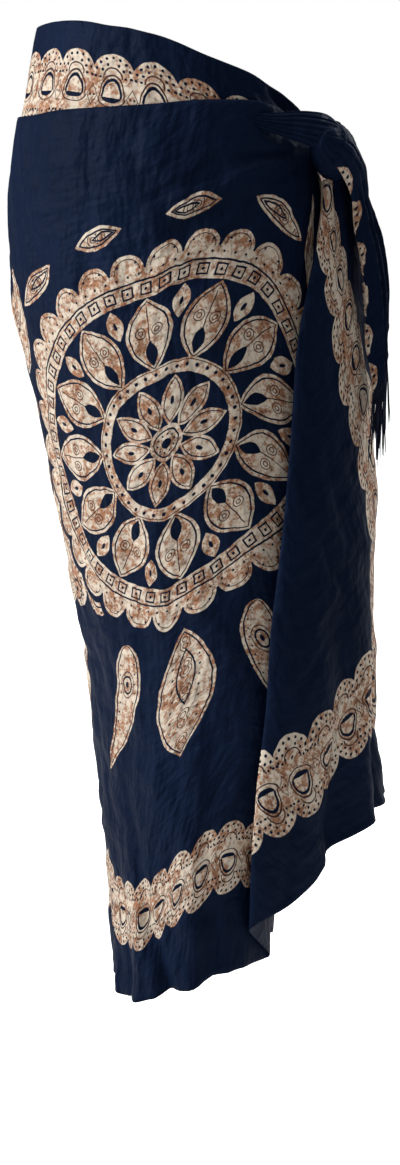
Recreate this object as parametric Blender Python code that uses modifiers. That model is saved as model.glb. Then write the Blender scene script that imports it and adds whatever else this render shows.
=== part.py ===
"""A sarong wrapped round the hips and knotted at the left hip, as one hollow, standing cloth form.

Metres, +Z up. The wearer faces -Y and the wearer's left is +X. The origin is the centre of the waist opening.
The cloth is one rectangle. It starts at the fringed outer end behind the left hip, runs forward over the left side,
doubles back in one deep pleat, crosses the front, the right side and the back, and ends inside the left front.
"""

import math

import bpy
import numpy as np

# Cloth
WALL = 0.0015
SEAM_GAP = 0.0003
MEAN_RADIUS = 0.15

# Knot at the left hip: angle round the body, height and stand-off of its middle, the slope of its length,
# then its half length, its half width across the slope and its half depth
KNOT_ANGLE = 5.5
KNOT_HEIGHT = -0.070
KNOT_STAND_OFF = 0.0261
KNOT_SLOPE_DEG = -31.0
KNOT_SIZE = (0.037, 0.0255, 0.0215)

# Radiating gathers round the knot
GATHER_COUNT = 13
GATHER_DEPTH = 0.0030
GATHER_REACH = 0.085

# Fringe
STRAND_LENGTH = 0.080
STRAND_WIDTH = 0.0015
STRAND_TIP = 0.0010
STRAND_LIFT = 0.0036
EDGE_STRAND_LEAN = -0.07
TAIL_STRAND_SPREAD = 0.10
STRIP_WIDTH = 0.0030
STRIP_GAP = 0.0008

# Sections of the hollow, on a general figure with one foot a little ahead
SECTION_COLUMNS = ("z", "centre_x", "centre_y", "half_width", "half_depth", "turn_deg")
SECTIONS = (
    (0.080, -0.012, -0.004, 0.130, 0.106, 0),
    (0.050, -0.013, -0.006, 0.136, 0.112, 0),
    (0.000, -0.014, -0.007, 0.147, 0.122, 0),
    (-0.045, -0.014, -0.008, 0.157, 0.131, 0),
    (-0.126, -0.010, -0.006, 0.173, 0.144, 0),
    (-0.228, -0.005, -0.003, 0.178, 0.148, 0),
    (-0.330, 0.007, 0.005, 0.172, 0.144, -3),
    (-0.400, 0.013, 0.008, 0.169, 0.140, -8),
    (-0.500, 0.020, 0.013, 0.165, 0.133, -16),
    (-0.610, 0.023, 0.015, 0.160, 0.121, -26),
    (-0.714, 0.018, 0.012, 0.155, 0.109, -36),
    (-0.820, 0.015, 0.010, 0.150, 0.100, -45),
    (-0.906, 0.015, 0.010, 0.147, 0.093, -50),
    (-1.050, 0.014, 0.009, 0.145, 0.089, -53),
)

# Guides: lines that run down the cloth from its top edge to its hem, in order along the cloth.
# Angles and stand-offs are given at six levels from top to hem, stand-offs in millimetres from the section.
LEVELS = (0.0, 0.2, 0.4, 0.6, 0.8, 1.0)
GUIDE_COLUMNS = ("name", "angles_deg", "stand_offs_mm", "z_top", "z_hem", "steps")


def upright(name, angle, z_top, z_hem, steps, stand_off=0.0):
    """A guide that goes straight down the figure at one angle."""
    return (name, (angle,) * len(LEVELS), (stand_off,) * len(LEVELS), z_top, z_hem, steps)


GUIDES = (
    ("short_edge", (20, 50, 62, 70, 80, 92), (22, 20, 18, 20, 32, 58), -0.117, -0.735, 4),
    ("side_border", (17, 40, 48, 54, 59, 65), (23, 25, 24, 29, 48, 86), -0.112, -0.748, 4),
    ("left_outline", (14, 25, 30, 33, 35, 37), (23, 27, 31, 36, 60, 103), -0.1065, -0.777, 4),
    ("left_side", (10, 9, 8, 8, 7, 7), (23, 25, 27, 32, 48, 77), -0.101, -0.778, 4),
    ("ridge", (6.5, -5, -11, -15, -16, -16), (21, 24, 25, 27, 34, 47), -0.099, -0.832, 2),
    ("fold_front", (3, -14, -23, -31, -33, -32), (18, 20, 20, 21, 22, 24), -0.0972, -0.857, 2),
    ("fold_edge", (1, -17, -26, -34, -36, -35), (14, 15, 15, 15, 16, 17), -0.0965, -0.866, 2),
    ("fold_back", (1.5, -15.5, -24, -32, -34, -33), (10.5, 11, 10.5, 10.5, 11, 11), -0.0955, -0.876, 2),
    ("middle", (3, -12, -20, -27, -28, -25), (8, 8, 7.5, 7.5, 8, 8), -0.0945, -0.900, 2),
    ("inner_turn", (5, -8, -15, -22, -22, -16), (4.5, 4.5, 4.5, 4.5, 4.5, 4.5), -0.093, -0.925, 2),
    ("front_start", (3, -10, -17.5, -24.5, -24, -18.5), (0.5, 0.5, 0.5, 0.5, 0.5, 0.5), -0.050, -0.926, 5),
    ("front_left", (-12, -26, -34, -40, -42, -40), (0, 0, 0, 0, 0, 0), -0.024, -0.919, 5),
    ("front", (-36, -46, -52, -58, -60, -60), (0, 0, 0, 0, 0, 0), -0.018, -0.939, 3),
    ("front_centre", (-61, -68, -74, -78, -80, -80), (0, 0, 0, 0, 0, 0), -0.0225, -0.967, 3),
    upright("front_right", -105, -0.031, -0.988, 3),
    upright("right_front", -130, -0.040, -0.992, 3),
    upright("right_side", -160, -0.046, -0.998, 3),
    upright("right_back", -190, -0.048, -1.000, 3),
    upright("back_right", -220, -0.051, -0.996, 3),
    upright("back", -250, -0.063, -0.988, 3),
    upright("back_centre", -280, -0.080, -0.976, 3),
    upright("back_left", -310, -0.094, -0.958, 2, -1.0),
    upright("under_edge", -330, -0.100, -0.936, 2, -6.5),
    ("under_knot", (-348, -350, -352, -354, -356, -358), (-9.5,) * 6, -0.104, -0.912, 3),
    ("inner_middle", (-357, -368, -375, -381, -386, -390), (-9.5,) * 6, -0.107, -0.895, 3),
    ("inner_edge", (-364, -386, -397, -406, -412, -416), (-9.5,) * 6, -0.112, -0.890, 0),
)

# Waist stretches: height of the top edge at angles round the body
WAIST_COLUMNS = ("angle_deg", "z_top")
WAIST = (
    (7, -0.036),
    (-3, -0.020),
    (-20, 0.005),
    (-40, 0.025),
    (-61, 0.041),
    (-82, 0.049),
    (-105, 0.053),
    (-125, 0.051),
    (-145, 0.045),
    (-180, 0.040),
    (-225, 0.028),
    (-250, 0.012),
    (-280, -0.010),
    (-315, -0.038),
    (-336, -0.044),
    (-357, -0.047),
)

# Rows of the waist stretches from the wrap's folded edge up: a distance above that edge, a share of the height
# that is left above it, and a stand-off in millimetres, since the fold lies proud of the waist
WAIST_ROW_COLUMNS = ("above", "share", "stand_off_mm")
WAIST_ROWS = (
    (0.0008, 0, 0),
    (0.0018, 0, 0),
    (0.0040, 0, -3.6),
    (0.0040, 0.30, -4.0),
    (0.0040, 0.65, -2.6),
    (0.0040, 1, -0.6),
)

# Soft creases: a line on the body, its half width and its depth, where a trough is negative.
# A hem crease grows towards its end, and a pull crease is deepest halfway.
CREASE_COLUMNS = ("kind", "start_deg", "start_z", "end_deg", "end_z", "half_width", "depth")
WRAP_CREASES = (
    ("hem", -110, -0.66, -66, -0.965, 0.011, -0.012),
    ("hem", -96, -0.72, -84, -1.00, 0.016, 0.007),
    ("hem", -60, -0.70, -56, -0.96, 0.010, 0.006),
    ("hem", -50, -0.76, -48, -0.95, 0.008, -0.007),
    ("hem", -40, -0.78, -33, -0.95, 0.010, 0.004),
    ("hem", -68, -0.62, -67, -0.90, 0.007, -0.003),
    ("hem", -150, -0.60, -128, -1.01, 0.014, -0.008),
    ("hem", -134, -0.70, -112, -1.01, 0.014, 0.007),
    ("hem", -176, -0.48, -168, -1.02, 0.020, 0.009),
    ("hem", -200, -0.52, -196, -1.02, 0.016, -0.010),
    ("hem", -226, -0.44, -222, -1.02, 0.022, 0.010),
    ("hem", -252, -0.52, -247, -1.02, 0.017, -0.010),
    ("hem", -276, -0.46, -272, -1.02, 0.022, 0.009),
    ("pull", -8, -0.060, -56, -0.105, 0.009, -0.0040),
    ("pull", -10, -0.070, -62, -0.155, 0.010, -0.0040),
    ("pull", -12, -0.085, -58, -0.215, 0.012, -0.0035),
    ("pull", -8, -0.045, -48, -0.062, 0.008, -0.0030),
    ("pull", -12, -0.078, -66, -0.130, 0.010, 0.0035),
    ("pull", -322, -0.080, -262, -0.150, 0.011, -0.0045),
    ("pull", -322, -0.095, -270, -0.230, 0.013, -0.0040),
    ("pull", -322, -0.070, -256, -0.100, 0.010, -0.0035),
)
END_CREASES = (
    ("hem", -12, -0.42, -2, -0.84, 0.013, -0.013),
    ("hem", 2, -0.34, 12, -0.82, 0.016, 0.010),
    ("hem", 10, -0.46, 22, -0.82, 0.011, -0.013),
    ("hem", 34, -0.40, 50, -0.80, 0.018, -0.008),
    ("hem", 46, -0.40, 72, -0.78, 0.020, 0.008),
)

# Tails of the knot: where each hangs, as angle, stand-off in millimetres and height, with the folded width and depth
TAIL_COLUMNS = ("angle_deg", "stand_off_mm", "z", "width", "fold_depth")
FRONT_TAIL = (
    (9, 31, -0.0965, 0.024, 0.0040),
    (10.5, 39, -0.138, 0.033, 0.0055),
    (12, 43, -0.180, 0.038, 0.0065),
    (12, 44, -0.220, 0.039, 0.0075),
    (12, 44, -0.252, 0.039, 0.0060),
    (12, 44, -0.272, 0.038, 0.0052),
)
BACK_TAIL = (
    (17, 28, -0.0945, 0.020, 0.0035),
    (23, 38, -0.142, 0.034, 0.0050),
    (28, 41, -0.190, 0.045, 0.0050),
    (30, 42, -0.232, 0.052, 0.0050),
)
TAIL_FOLDS = 2.5
FRONT_TAIL_SLANT = 0.064
BACK_TAIL_SLANT = -0.065

# Colours: red, green, blue, roughness
NAVY = (0.010, 0.018, 0.050, 0.62)
INSIDE_NAVY = (0.018, 0.026, 0.058, 0.70)
FRINGE_BLACK = (0.006, 0.008, 0.018, 0.75)


def smooth_through(stations, values, at):
    """Values on a smooth curve through a table's rows, with no overshoot between rows."""
    x = np.asarray(stations, float)
    y = np.asarray(values, float).reshape(len(x), -1)
    at = np.clip(np.asarray(at, float), x[0], x[-1])
    step = np.diff(x)[:, None]
    slope = np.diff(y, axis=0) / step
    tangent = np.vstack([slope[:1], np.zeros_like(slope[1:]), slope[-1:]])
    same = slope[:-1] * slope[1:] > 0
    mean = np.divide(2 * slope[:-1] * slope[1:], slope[:-1] + slope[1:], out=np.zeros_like(slope[1:]), where=same)
    tangent[1:-1] = mean
    k = np.clip(np.searchsorted(x, at, side="right") - 1, 0, len(x) - 2)
    h = step[k]
    s = ((at - x[k]) / h[:, 0])[:, None]
    blend_start = (1 + 2 * s) * (1 - s) ** 2
    blend_end = s * s * (3 - 2 * s)
    out = blend_start * y[k] + blend_end * y[k + 1]
    return out + s * (1 - s) ** 2 * h * tangent[k] - s * s * (1 - s) * h * tangent[k + 1]


def section(z):
    """The body's section at each height: centre, half width, half depth and turn in radians."""
    found = smooth_through([row[0] for row in reversed(SECTIONS)], [row[1:] for row in reversed(SECTIONS)], np.ravel(z))
    centre_x, centre_y, half_width, half_depth, turn_deg = found.T.reshape((5,) + np.shape(z))
    return centre_x, centre_y, half_width, half_depth, np.radians(turn_deg)


def section_radius(angle, half_width, half_depth, turn):
    """Distance from the section's centre to its outline at an angle in radians."""
    local = angle - turn
    return half_width * half_depth / np.hypot(half_depth * np.cos(local), half_width * np.sin(local))


def place(angle_deg, stand_off, z):
    """Points at an angle round the body's section, that far outside it, at height z."""
    angle_deg, stand_off, z = np.broadcast_arrays(angle_deg, stand_off, z)
    centre_x, centre_y, *outline = section(z)
    angle = np.radians(angle_deg)
    reach = section_radius(angle, *outline) + stand_off
    return np.stack([centre_x + reach * np.cos(angle), centre_y + reach * np.sin(angle), z], axis=-1)


def angle_and_reach(points):
    """Angle round the body in degrees and distance outside its section, for points anywhere."""
    centre_x, centre_y, *outline = section(points[:, 2])
    away = points[:, :2] - np.stack([centre_x, centre_y], axis=1)
    angle = np.arctan2(away[:, 1], away[:, 0])
    return np.degrees(angle), np.linalg.norm(away, axis=1) - section_radius(angle, *outline)


def relief(creases, angle_deg, z):
    """How far the creases move the cloth outwards."""
    total = np.zeros(np.broadcast(angle_deg, z).shape)
    arc = np.radians(angle_deg) * MEAN_RADIUS
    for kind, start_deg, start_z, end_deg, end_z, half_width, depth in creases:
        start = (math.radians(start_deg) * MEAN_RADIUS, start_z)
        run = (math.radians(end_deg) * MEAN_RADIUS - start[0], end_z - start[1])
        length = math.hypot(*run)
        along = ((arc - start[0]) * run[0] + (z - start[1]) * run[1]) / length**2
        along = np.clip(along, 0, 1)
        away = np.hypot(arc - start[0] - along * run[0], z - start[1] - along * run[1])
        share = along**2 * (3 - 2 * along) if kind == "hem" else 4 * along * (1 - along)
        total = total + depth * share * np.exp(-((away / half_width) ** 2))
    return total


def gathers(angle_deg, z):
    """Pleats that radiate from the knot and fade away from it."""
    turned = (np.asarray(angle_deg, float) - KNOT_ANGLE + 180) % 360 - 180
    arc = np.radians(turned) * MEAN_RADIUS
    drop = z - KNOT_HEIGHT
    away = np.hypot(arc, drop)
    pleat = np.cos(GATHER_COUNT * np.arctan2(drop, arc))
    rise = np.clip(away / 0.030, 0, 1)
    return GATHER_DEPTH * pleat * rise * np.exp(-((away / GATHER_REACH) ** 2))


def guide_rows(level):
    """Each guide's arc, stand-off and height at one level, from 0 at the top to 1 at the hem."""
    angles = smooth_through(LEVELS, np.array([g[1] for g in GUIDES], float).T, [level])[0]
    stand_offs = smooth_through(LEVELS, np.array([g[2] for g in GUIDES], float).T, [level])[0] / 1000
    z_top = np.array([g[3] for g in GUIDES])
    z_hem = np.array([g[4] for g in GUIDES])
    heights = z_top + (z_hem - z_top) * level
    return np.stack([np.radians(angles) * MEAN_RADIUS, stand_offs, heights], axis=1)


def spline_at(control, at):
    """Points on a rounded curve through the control points, at positions counted in control points."""
    chord = np.sqrt(np.linalg.norm(np.diff(control, axis=0), axis=1))
    knots = np.concatenate([[0.0], np.cumsum(chord)])
    k = np.clip(np.floor(at).astype(int), 0, len(control) - 2)
    share = (at - k)[:, None]
    slope = np.diff(control, axis=0) / chord[:, None]
    tangent = np.vstack([slope[:1], np.zeros_like(slope[1:]), slope[-1:]])
    before, after = chord[:-1, None], chord[1:, None]
    tangent[1:-1] = (after * slope[:-1] + before * slope[1:]) / (before + after)
    h = (knots[k + 1] - knots[k])[:, None]
    start = (1 + 2 * share) * (1 - share) ** 2 * control[k] + share * (1 - share) ** 2 * h * tangent[k]
    end = share**2 * (3 - 2 * share) * control[k + 1] - share**2 * (1 - share) * h * tangent[k + 1]
    return start + end


def wrap_points(at, levels):
    """Points of the wrapped cloth: a row for each level and a column for each position along the cloth."""
    names = [g[0] for g in GUIDES]
    turn = names.index("middle")
    rows = []
    for level in levels:
        arc, stand_off, z = spline_at(guide_rows(level), at).T
        angle = np.degrees(arc / MEAN_RADIUS)
        outer = np.clip(turn - at, 0, 1)
        inner = np.clip(at - names.index("front_start"), 0, 1)
        under = np.clip(at - names.index("back_left"), 0, 1)
        fold = outer * relief(END_CREASES, angle, z) + inner * (1 - under) * relief(WRAP_CREASES, angle, z)
        fold = fold + (outer + inner * (1 - under)) * gathers(angle, z)
        rows.append(place(angle, stand_off + fold, z))
    return np.array(rows)


def positions(first, last):
    """Column positions from one named guide to another, with each guide's own number of steps."""
    names = [g[0] for g in GUIDES]
    start, stop = names.index(first), names.index(last)
    found = [i + j / GUIDES[i][5] for i in range(start, stop) for j in range(GUIDES[i][5])]
    return np.array(found + [stop], float)


def with_seams(points, first, last):
    """The grid with its first or last column moved in by half the gap that the pieces keep."""
    points = points.copy()
    for edge, beside, wanted in ((0, 1, first), (-1, -2, last)):
        if wanted:
            inward = points[:, beside] - points[:, edge]
            inward /= np.linalg.norm(inward, axis=1, keepdims=True)
            points[:, edge] += inward * SEAM_GAP / 2
    return points


def new_material(name, colour):
    material = bpy.data.materials.new(name)
    material.use_nodes = True
    shader = material.node_tree.nodes["Principled BSDF"]
    shader.inputs["Base Color"].default_value = (*colour[:3], 1.0)
    shader.inputs["Roughness"].default_value = colour[3]
    shader.inputs["Metallic"].default_value = 0.0
    return material


def new_object(name, points, faces, material, collection):
    mesh = bpy.data.meshes.new(name)
    mesh.from_pydata([tuple(p) for p in points], [], faces)
    mesh.update()
    mesh.materials.append(material)
    mesh.shade_smooth()
    obj = bpy.data.objects.new(name, mesh)
    collection.objects.link(obj)
    return obj


def cloth_wall(name, grid, material, collection):
    """A wall of cloth from a grid of points, the same thickness on both sides of them."""
    rows, columns = grid.shape[:2]
    faces = [
        (r * columns + c, r * columns + c + 1, (r + 1) * columns + c + 1, (r + 1) * columns + c)
        for r in range(rows - 1)
        for c in range(columns - 1)
    ]
    obj = new_object(name, grid.reshape(-1, 3), faces, material, collection)
    split = obj.modifiers.new("same_diagonals", "TRIANGULATE")
    split.quad_method = "FIXED"
    wall = obj.modifiers.new("cloth_thickness", "SOLIDIFY")
    wall.thickness = WALL
    wall.offset = 0.0
    return obj


def waist_points(at):
    """Grid of a waist stretch above the wrap's folded edge, from its top edge down, in the wrap's own columns."""
    edge_arc, stand_off, edge = spline_at(guide_rows(0.0), at).T
    angles = np.degrees(edge_arc / MEAN_RADIUS)
    top = smooth_through([-row[0] for row in WAIST], [row[1] for row in WAIST], -angles)[:, 0]
    under = np.clip(at - [g[0] for g in GUIDES].index("back_left"), 0, 1)
    rows = []
    for above, share, inward_mm in reversed(WAIST_ROWS):
        z = edge + above + (top - edge - above) * share
        fold = (1 - under) * (relief(WRAP_CREASES, angles, z) + gathers(angles, z))
        rows.append(place(angles, stand_off + inward_mm / 1000 + fold, z))
    return np.array(rows)


def build_knot(material, collection):
    """The knot as one rounded lump: a pleated band of cloth lies across a gathered core."""
    rings, sides = 15, 22
    centre = place(KNOT_ANGLE, KNOT_STAND_OFF, KNOT_HEIGHT)
    turn, slope = math.radians(KNOT_ANGLE), math.radians(KNOT_SLOPE_DEG)
    out = np.array([math.cos(turn), math.sin(turn), 0.0])
    back = np.array([-out[1], out[0], 0.0])
    length = back * math.cos(slope) + np.array([0.0, 0.0, math.sin(slope)])
    width = np.cross(out, length)
    points = [centre - length * KNOT_SIZE[0]]
    for t in np.cos(np.linspace(math.pi, 0, rings + 2)[1:-1]):
        swell = (1 - abs(t) ** 2.4) ** (1 / 2.4)
        band = math.exp(-(((t + 0.05) / 0.36) ** 6))
        for side in range(sides):
            angle = 2 * math.pi * side / sides
            pleat = 0.045 * math.cos(11 * angle) * (1 - band) + 0.015 * math.sin(13 * t) * band
            reach = swell * (0.87 + 0.12 * band + pleat)
            points.append(centre + length * KNOT_SIZE[0] * t
                          + reach * (width * KNOT_SIZE[1] * math.cos(angle) + out * KNOT_SIZE[2] * math.sin(angle)))
    points.append(centre + length * KNOT_SIZE[0])
    last, base = len(points) - 1, 1 + (rings - 1) * sides
    faces = [(0, 1 + (s + 1) % sides, 1 + s) for s in range(sides)]
    for ring in range(rings - 1):
        low, high = 1 + ring * sides, 1 + (ring + 1) * sides
        faces += [(low + s, low + (s + 1) % sides, high + (s + 1) % sides, high + s) for s in range(sides)]
    faces += [(last, base + s, base + (s + 1) % sides) for s in range(sides)]
    return new_object("knot", points, faces, material, collection)


def tail_points(table, slant, columns=16, rows=11):
    """Grid of a tail of the knot, folded like a fan and cut off at a slant."""
    rows_at = np.linspace(0, 1, rows)
    steps = np.linspace(0, 1, len(table))
    angle, stand_off, z, width, depth = smooth_through(steps, table, rows_at).T
    across = np.linspace(-0.5, 0.5, columns)
    grid = []
    for i, share in enumerate(rows_at):
        wave = np.sin(2 * math.pi * TAIL_FOLDS * across)
        height = z[i] + slant * across * share**2
        turn = np.degrees(across * width[i] / (MEAN_RADIUS + stand_off[i] / 1000))
        grid.append(place(angle[i] + turn, stand_off[i] / 1000 + depth[i] * wave, height))
    return np.array(grid)


def turned_along(direction, before, heading):
    """A direction carried round with a strand as its heading changes, by the smallest turn."""
    axis = np.cross(before, heading)
    once = np.cross(axis, direction)
    return direction + once + np.cross(axis, once) / (1 + before.dot(heading))


def build_fringe(name, roots, between, along, outward, paths, material, collection):
    """A narrow strip with its strands, as one body.

    roots are the strands' places on the strip's near edge and between the places half way from each to the
    next, along runs down the edge, outward is the strip's width direction, and paths holds each strand's own
    centre line from the strip's far edge to its tip.
    """
    thick = np.cross(along, outward)
    thick /= np.linalg.norm(thick, axis=1, keepdims=True)
    points, faces = [], []
    half = STRAND_WIDTH / 2

    def station(near, across, depth):
        far = near + across * STRIP_WIDTH
        points.extend([near - depth, near + depth, far + depth, far - depth])
        return len(points) - 4

    stations, mouths = [], []
    for i in range(len(roots)):
        depth = thick[i] * WALL / 2
        a = station(roots[i] - half * along[i], outward[i], depth)
        b = station(roots[i] + half * along[i], outward[i], depth)
        mouths.append((a, b))
        stations += [a, b]
        if i + 1 < len(roots):
            across = outward[i] + outward[i + 1]
            turned = thick[i] + thick[i + 1]
            stations.append(station(between[i], across / np.linalg.norm(across),
                                    turned / np.linalg.norm(turned) * WALL / 2))
    for a, b in zip(stations, stations[1:]):
        for k in range(4):
            if k == 2 and (a, b) in mouths:
                continue
            n = (k + 1) % 4
            faces.append((a + k, a + n, b + n, b + k))
    faces.append((stations[0] + 3, stations[0] + 2, stations[0] + 1, stations[0]))
    faces.append(tuple(stations[-1] + k for k in range(4)))
    for i, path in enumerate(paths):
        a, b = mouths[i]
        mouth = [a + 2, a + 3, b + 3, b + 2]
        before, side, depth = outward[i], along[i], thick[i]
        for j in range(1, len(path)):
            share = j / (len(path) - 1)
            width = (1 - share) * half + share * STRAND_TIP / 2
            heading = path[min(j + 1, len(path) - 1)] - path[j - 1]
            heading /= np.linalg.norm(heading)
            side, depth = turned_along(side, before, heading), turned_along(depth, before, heading)
            before = heading
            first = len(points)
            for s, d in ((-1, 1), (-1, -1), (1, -1), (1, 1)):
                points.append(path[j] + (side * s + depth * d) * width)
            for k in range(4):
                n = (k + 1) % 4
                faces.append((mouth[k], mouth[n], first + n, first + k))
            mouth = [first + k for k in range(4)]
        faces.append(tuple(mouth))
    return new_object(name, points, [face[::-1] for face in faces], material, collection)


def edge_frames(along, outward):
    """Unit directions along a cloth's edge and square away from it."""
    along = along / np.linalg.norm(along, axis=1, keepdims=True)
    outward = outward - along * np.sum(along * outward, axis=1, keepdims=True)
    return along, outward / np.linalg.norm(outward, axis=1, keepdims=True)


def on_line(line, shares):
    """Points at even shares of a line's length, on its straight pieces."""
    run = np.concatenate([[0], np.cumsum(np.linalg.norm(np.diff(line, axis=0), axis=1))])
    return np.stack([np.interp(shares * run[-1], run, line[:, k]) for k in range(3)], axis=1)


def end_stand_off(grid, angle_deg, z):
    """Stand-off of the outer end's cloth at an angle and a height, held at its edge value beyond the edge."""
    turned = [angle_and_reach(row) for row in grid]
    found = []
    for angle, height in zip(angle_deg, z):
        rows = [
            (np.interp(-angle, -turn, row[:, 2]), np.interp(-angle, -turn, reach))
            for row, (turn, reach) in zip(grid, turned)
        ]
        heights, reaches = np.array(rows)[::-1].T
        found.append(np.interp(height, heights, reaches))
    return np.array(found)


def hanging_strand(start, lean, grid):
    """A strand's line from its root: it drops, leans sideways and stays clear of the outer end's cloth."""
    drops = STRAND_LENGTH * np.array([0.06, 0.15, 0.35, 0.62, 1.0])
    loose = start + np.outer(drops, lean + (0, 0, -0.97))
    angle, reach = angle_and_reach(loose)
    clear = end_stand_off(grid, angle, loose[:, 2]) + STRAND_LIFT
    return place(angle, np.maximum(reach, clear), loose[:, 2])


def build_edge_fringe(grid, material, collection, count=30):
    """Fringe of the outer end: each strand leaves the slanting short edge and hangs down outside the cloth."""
    shares = np.linspace(0.07, 0.99, 2 * count - 1)
    near = on_line(grid[:, 0], shares)
    along, outward = edge_frames(np.gradient(near, axis=0), near - on_line(grid[:, 1], shares))
    line = near + outward * STRIP_GAP
    near, along, outward, roots = near[::2], along[::2], outward[::2], line[::2]
    paths = []
    for i in range(count):
        level = outward[i] * (1, 1, 0)
        lean = EDGE_STRAND_LEAN * level / np.linalg.norm(level)
        lift = np.cross(along[i], outward[i])
        lift *= np.sign(lift.dot(near[i] * (1, 1, 0)))
        start = roots[i] + outward[i] * STRIP_WIDTH
        bent = start + outward[i] * STRAND_WIDTH * 0.7 + lift * STRAND_WIDTH * 1.3
        paths.append([start, bent, *hanging_strand(bent, lean, grid[:, :9])])
    return build_fringe("fringe_outer_end", roots, line[1::2], along, outward, paths, material, collection)


def build_tail_fringe(name, tail, grid, material, collection):
    """Fringe along the slanted lower edge of a tail, clear of the outer end's cloth behind it."""
    near, inside = (tail[-1, 1:] + tail[-1, :-1]) / 2, (tail[-2, 1:] + tail[-2, :-1]) / 2
    along, outward = edge_frames(np.diff(tail[-1], axis=0), near - inside)
    roots = near + outward * STRIP_GAP
    between = tail[-1, 1:-1] + (outward[1:] + outward[:-1]) / 2 * STRIP_GAP
    middle = near.mean(axis=0)
    paths = []
    for i in range(len(near)):
        start = roots[i] + outward[i] * STRIP_WIDTH
        lean = (start - middle) * (1, 1, 0) * TAIL_STRAND_SPREAD / STRAND_LENGTH
        paths.append([start, *hanging_strand(start, lean, grid)])
    return build_fringe(name, roots, between, along, outward, paths, material, collection)


def main():
    for obj in list(bpy.data.objects):
        bpy.data.objects.remove(obj, do_unlink=True)
    collection = bpy.data.collections.new("wrapped_sarong")
    bpy.context.scene.collection.children.link(collection)
    navy = new_material("printed_cloth", NAVY)
    inside = new_material("cloth_inside", INSIDE_NAVY)
    fringe = new_material("fringe_thread", FRINGE_BLACK)

    levels = np.linspace(0, 1, 23)
    end = with_seams(wrap_points(positions("short_edge", "middle"), levels), False, True)
    front = with_seams(wrap_points(positions("middle", "right_side"), levels), True, True)
    back = with_seams(wrap_points(positions("right_side", "under_edge"), levels), True, True)
    inner = with_seams(wrap_points(positions("under_edge", "inner_edge"), levels), True, False)
    cloth_wall("outer_end", end, navy, collection)
    cloth_wall("front_wrap", front, navy, collection)
    cloth_wall("back_wrap", back, navy, collection)
    cloth_wall("inner_end", inner, inside, collection)

    waist_front = with_seams(waist_points(positions("front_start", "right_side")), False, True)
    waist_back = with_seams(waist_points(positions("right_side", "inner_middle")), True, False)
    cloth_wall("waist_front", waist_front, navy, collection)
    cloth_wall("waist_back", waist_back, navy, collection)

    build_knot(navy, collection)
    front_tail = tail_points(FRONT_TAIL, FRONT_TAIL_SLANT)
    back_tail = tail_points(BACK_TAIL, BACK_TAIL_SLANT)
    cloth_wall("tail_front", front_tail, navy, collection)
    cloth_wall("tail_back", back_tail, navy, collection)
    build_edge_fringe(end, fringe, collection)
    build_tail_fringe("fringe_tail_front", front_tail, end, fringe, collection)
    build_tail_fringe("fringe_tail_back", back_tail, end, fringe, collection)


main()
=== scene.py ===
import math

import bpy
import numpy as np
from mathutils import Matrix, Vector


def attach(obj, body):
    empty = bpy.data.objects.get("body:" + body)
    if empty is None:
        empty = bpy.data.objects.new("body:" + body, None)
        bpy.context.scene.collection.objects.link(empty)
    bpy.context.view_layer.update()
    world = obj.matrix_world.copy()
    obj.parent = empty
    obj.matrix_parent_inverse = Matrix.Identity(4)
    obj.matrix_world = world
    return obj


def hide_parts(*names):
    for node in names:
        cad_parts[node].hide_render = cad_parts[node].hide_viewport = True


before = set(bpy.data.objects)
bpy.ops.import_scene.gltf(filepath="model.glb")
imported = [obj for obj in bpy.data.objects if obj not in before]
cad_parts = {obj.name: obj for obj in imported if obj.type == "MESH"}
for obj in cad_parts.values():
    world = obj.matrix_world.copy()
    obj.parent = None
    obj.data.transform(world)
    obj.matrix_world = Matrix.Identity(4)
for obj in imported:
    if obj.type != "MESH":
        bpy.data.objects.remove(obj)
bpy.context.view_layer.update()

SHELL = 0.0009
MEAN_RADIUS = 0.15
CLOTH_WIDTH = 1.65
CLOTH_DROP = 1.15

# Knot at the upper left: angle round the hollow, height and stand-off of its middle, the slope of its length,
# then its half length, its half width across the slope and its half depth
KNOT_ANGLE = 5.5
KNOT_HEIGHT = -0.070
KNOT_STAND_OFF = 0.0261
KNOT_SLOPE_DEG = -31.0
KNOT_SIZE = (0.037, 0.0255, 0.0215)

# Radiating gathers round the knot: broad pleats, and finer ones between them
GATHER_COUNT = 13
GATHER_DEPTH = 0.0030
GATHER_REACH = 0.085
FINE_GATHER_COUNT = 31
FINE_GATHER_DEPTH = 0.0020
FINE_GATHER_REACH = 0.095

# Sections of the hollow: height, centre x, centre y, half width, half depth, turn in degrees
SECTIONS = (
    (0.080, -0.012, -0.004, 0.130, 0.106, 0),
    (0.050, -0.013, -0.006, 0.136, 0.112, 0),
    (0.000, -0.014, -0.007, 0.147, 0.122, 0),
    (-0.045, -0.014, -0.008, 0.157, 0.131, 0),
    (-0.126, -0.010, -0.006, 0.173, 0.144, 0),
    (-0.228, -0.005, -0.003, 0.178, 0.148, 0),
    (-0.330, 0.007, 0.005, 0.172, 0.144, -3),
    (-0.400, 0.013, 0.008, 0.169, 0.140, -8),
    (-0.500, 0.020, 0.013, 0.165, 0.133, -16),
    (-0.610, 0.023, 0.015, 0.160, 0.121, -26),
    (-0.714, 0.018, 0.012, 0.155, 0.109, -36),
    (-0.820, 0.015, 0.010, 0.150, 0.100, -45),
    (-0.906, 0.015, 0.010, 0.147, 0.093, -50),
    (-1.050, 0.014, 0.009, 0.145, 0.089, -53),
)

# Guides that run down the cloth, in order along it: name, angles and stand-offs in millimetres at six levels
# from top to hem, and the heights of top and hem
LEVELS = (0.0, 0.2, 0.4, 0.6, 0.8, 1.0)


def upright(name, angle, z_top, z_hem, stand_off=0.0):
    """A guide that goes straight down at one angle."""
    return (name, (angle,) * len(LEVELS), (stand_off,) * len(LEVELS), z_top, z_hem)


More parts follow.
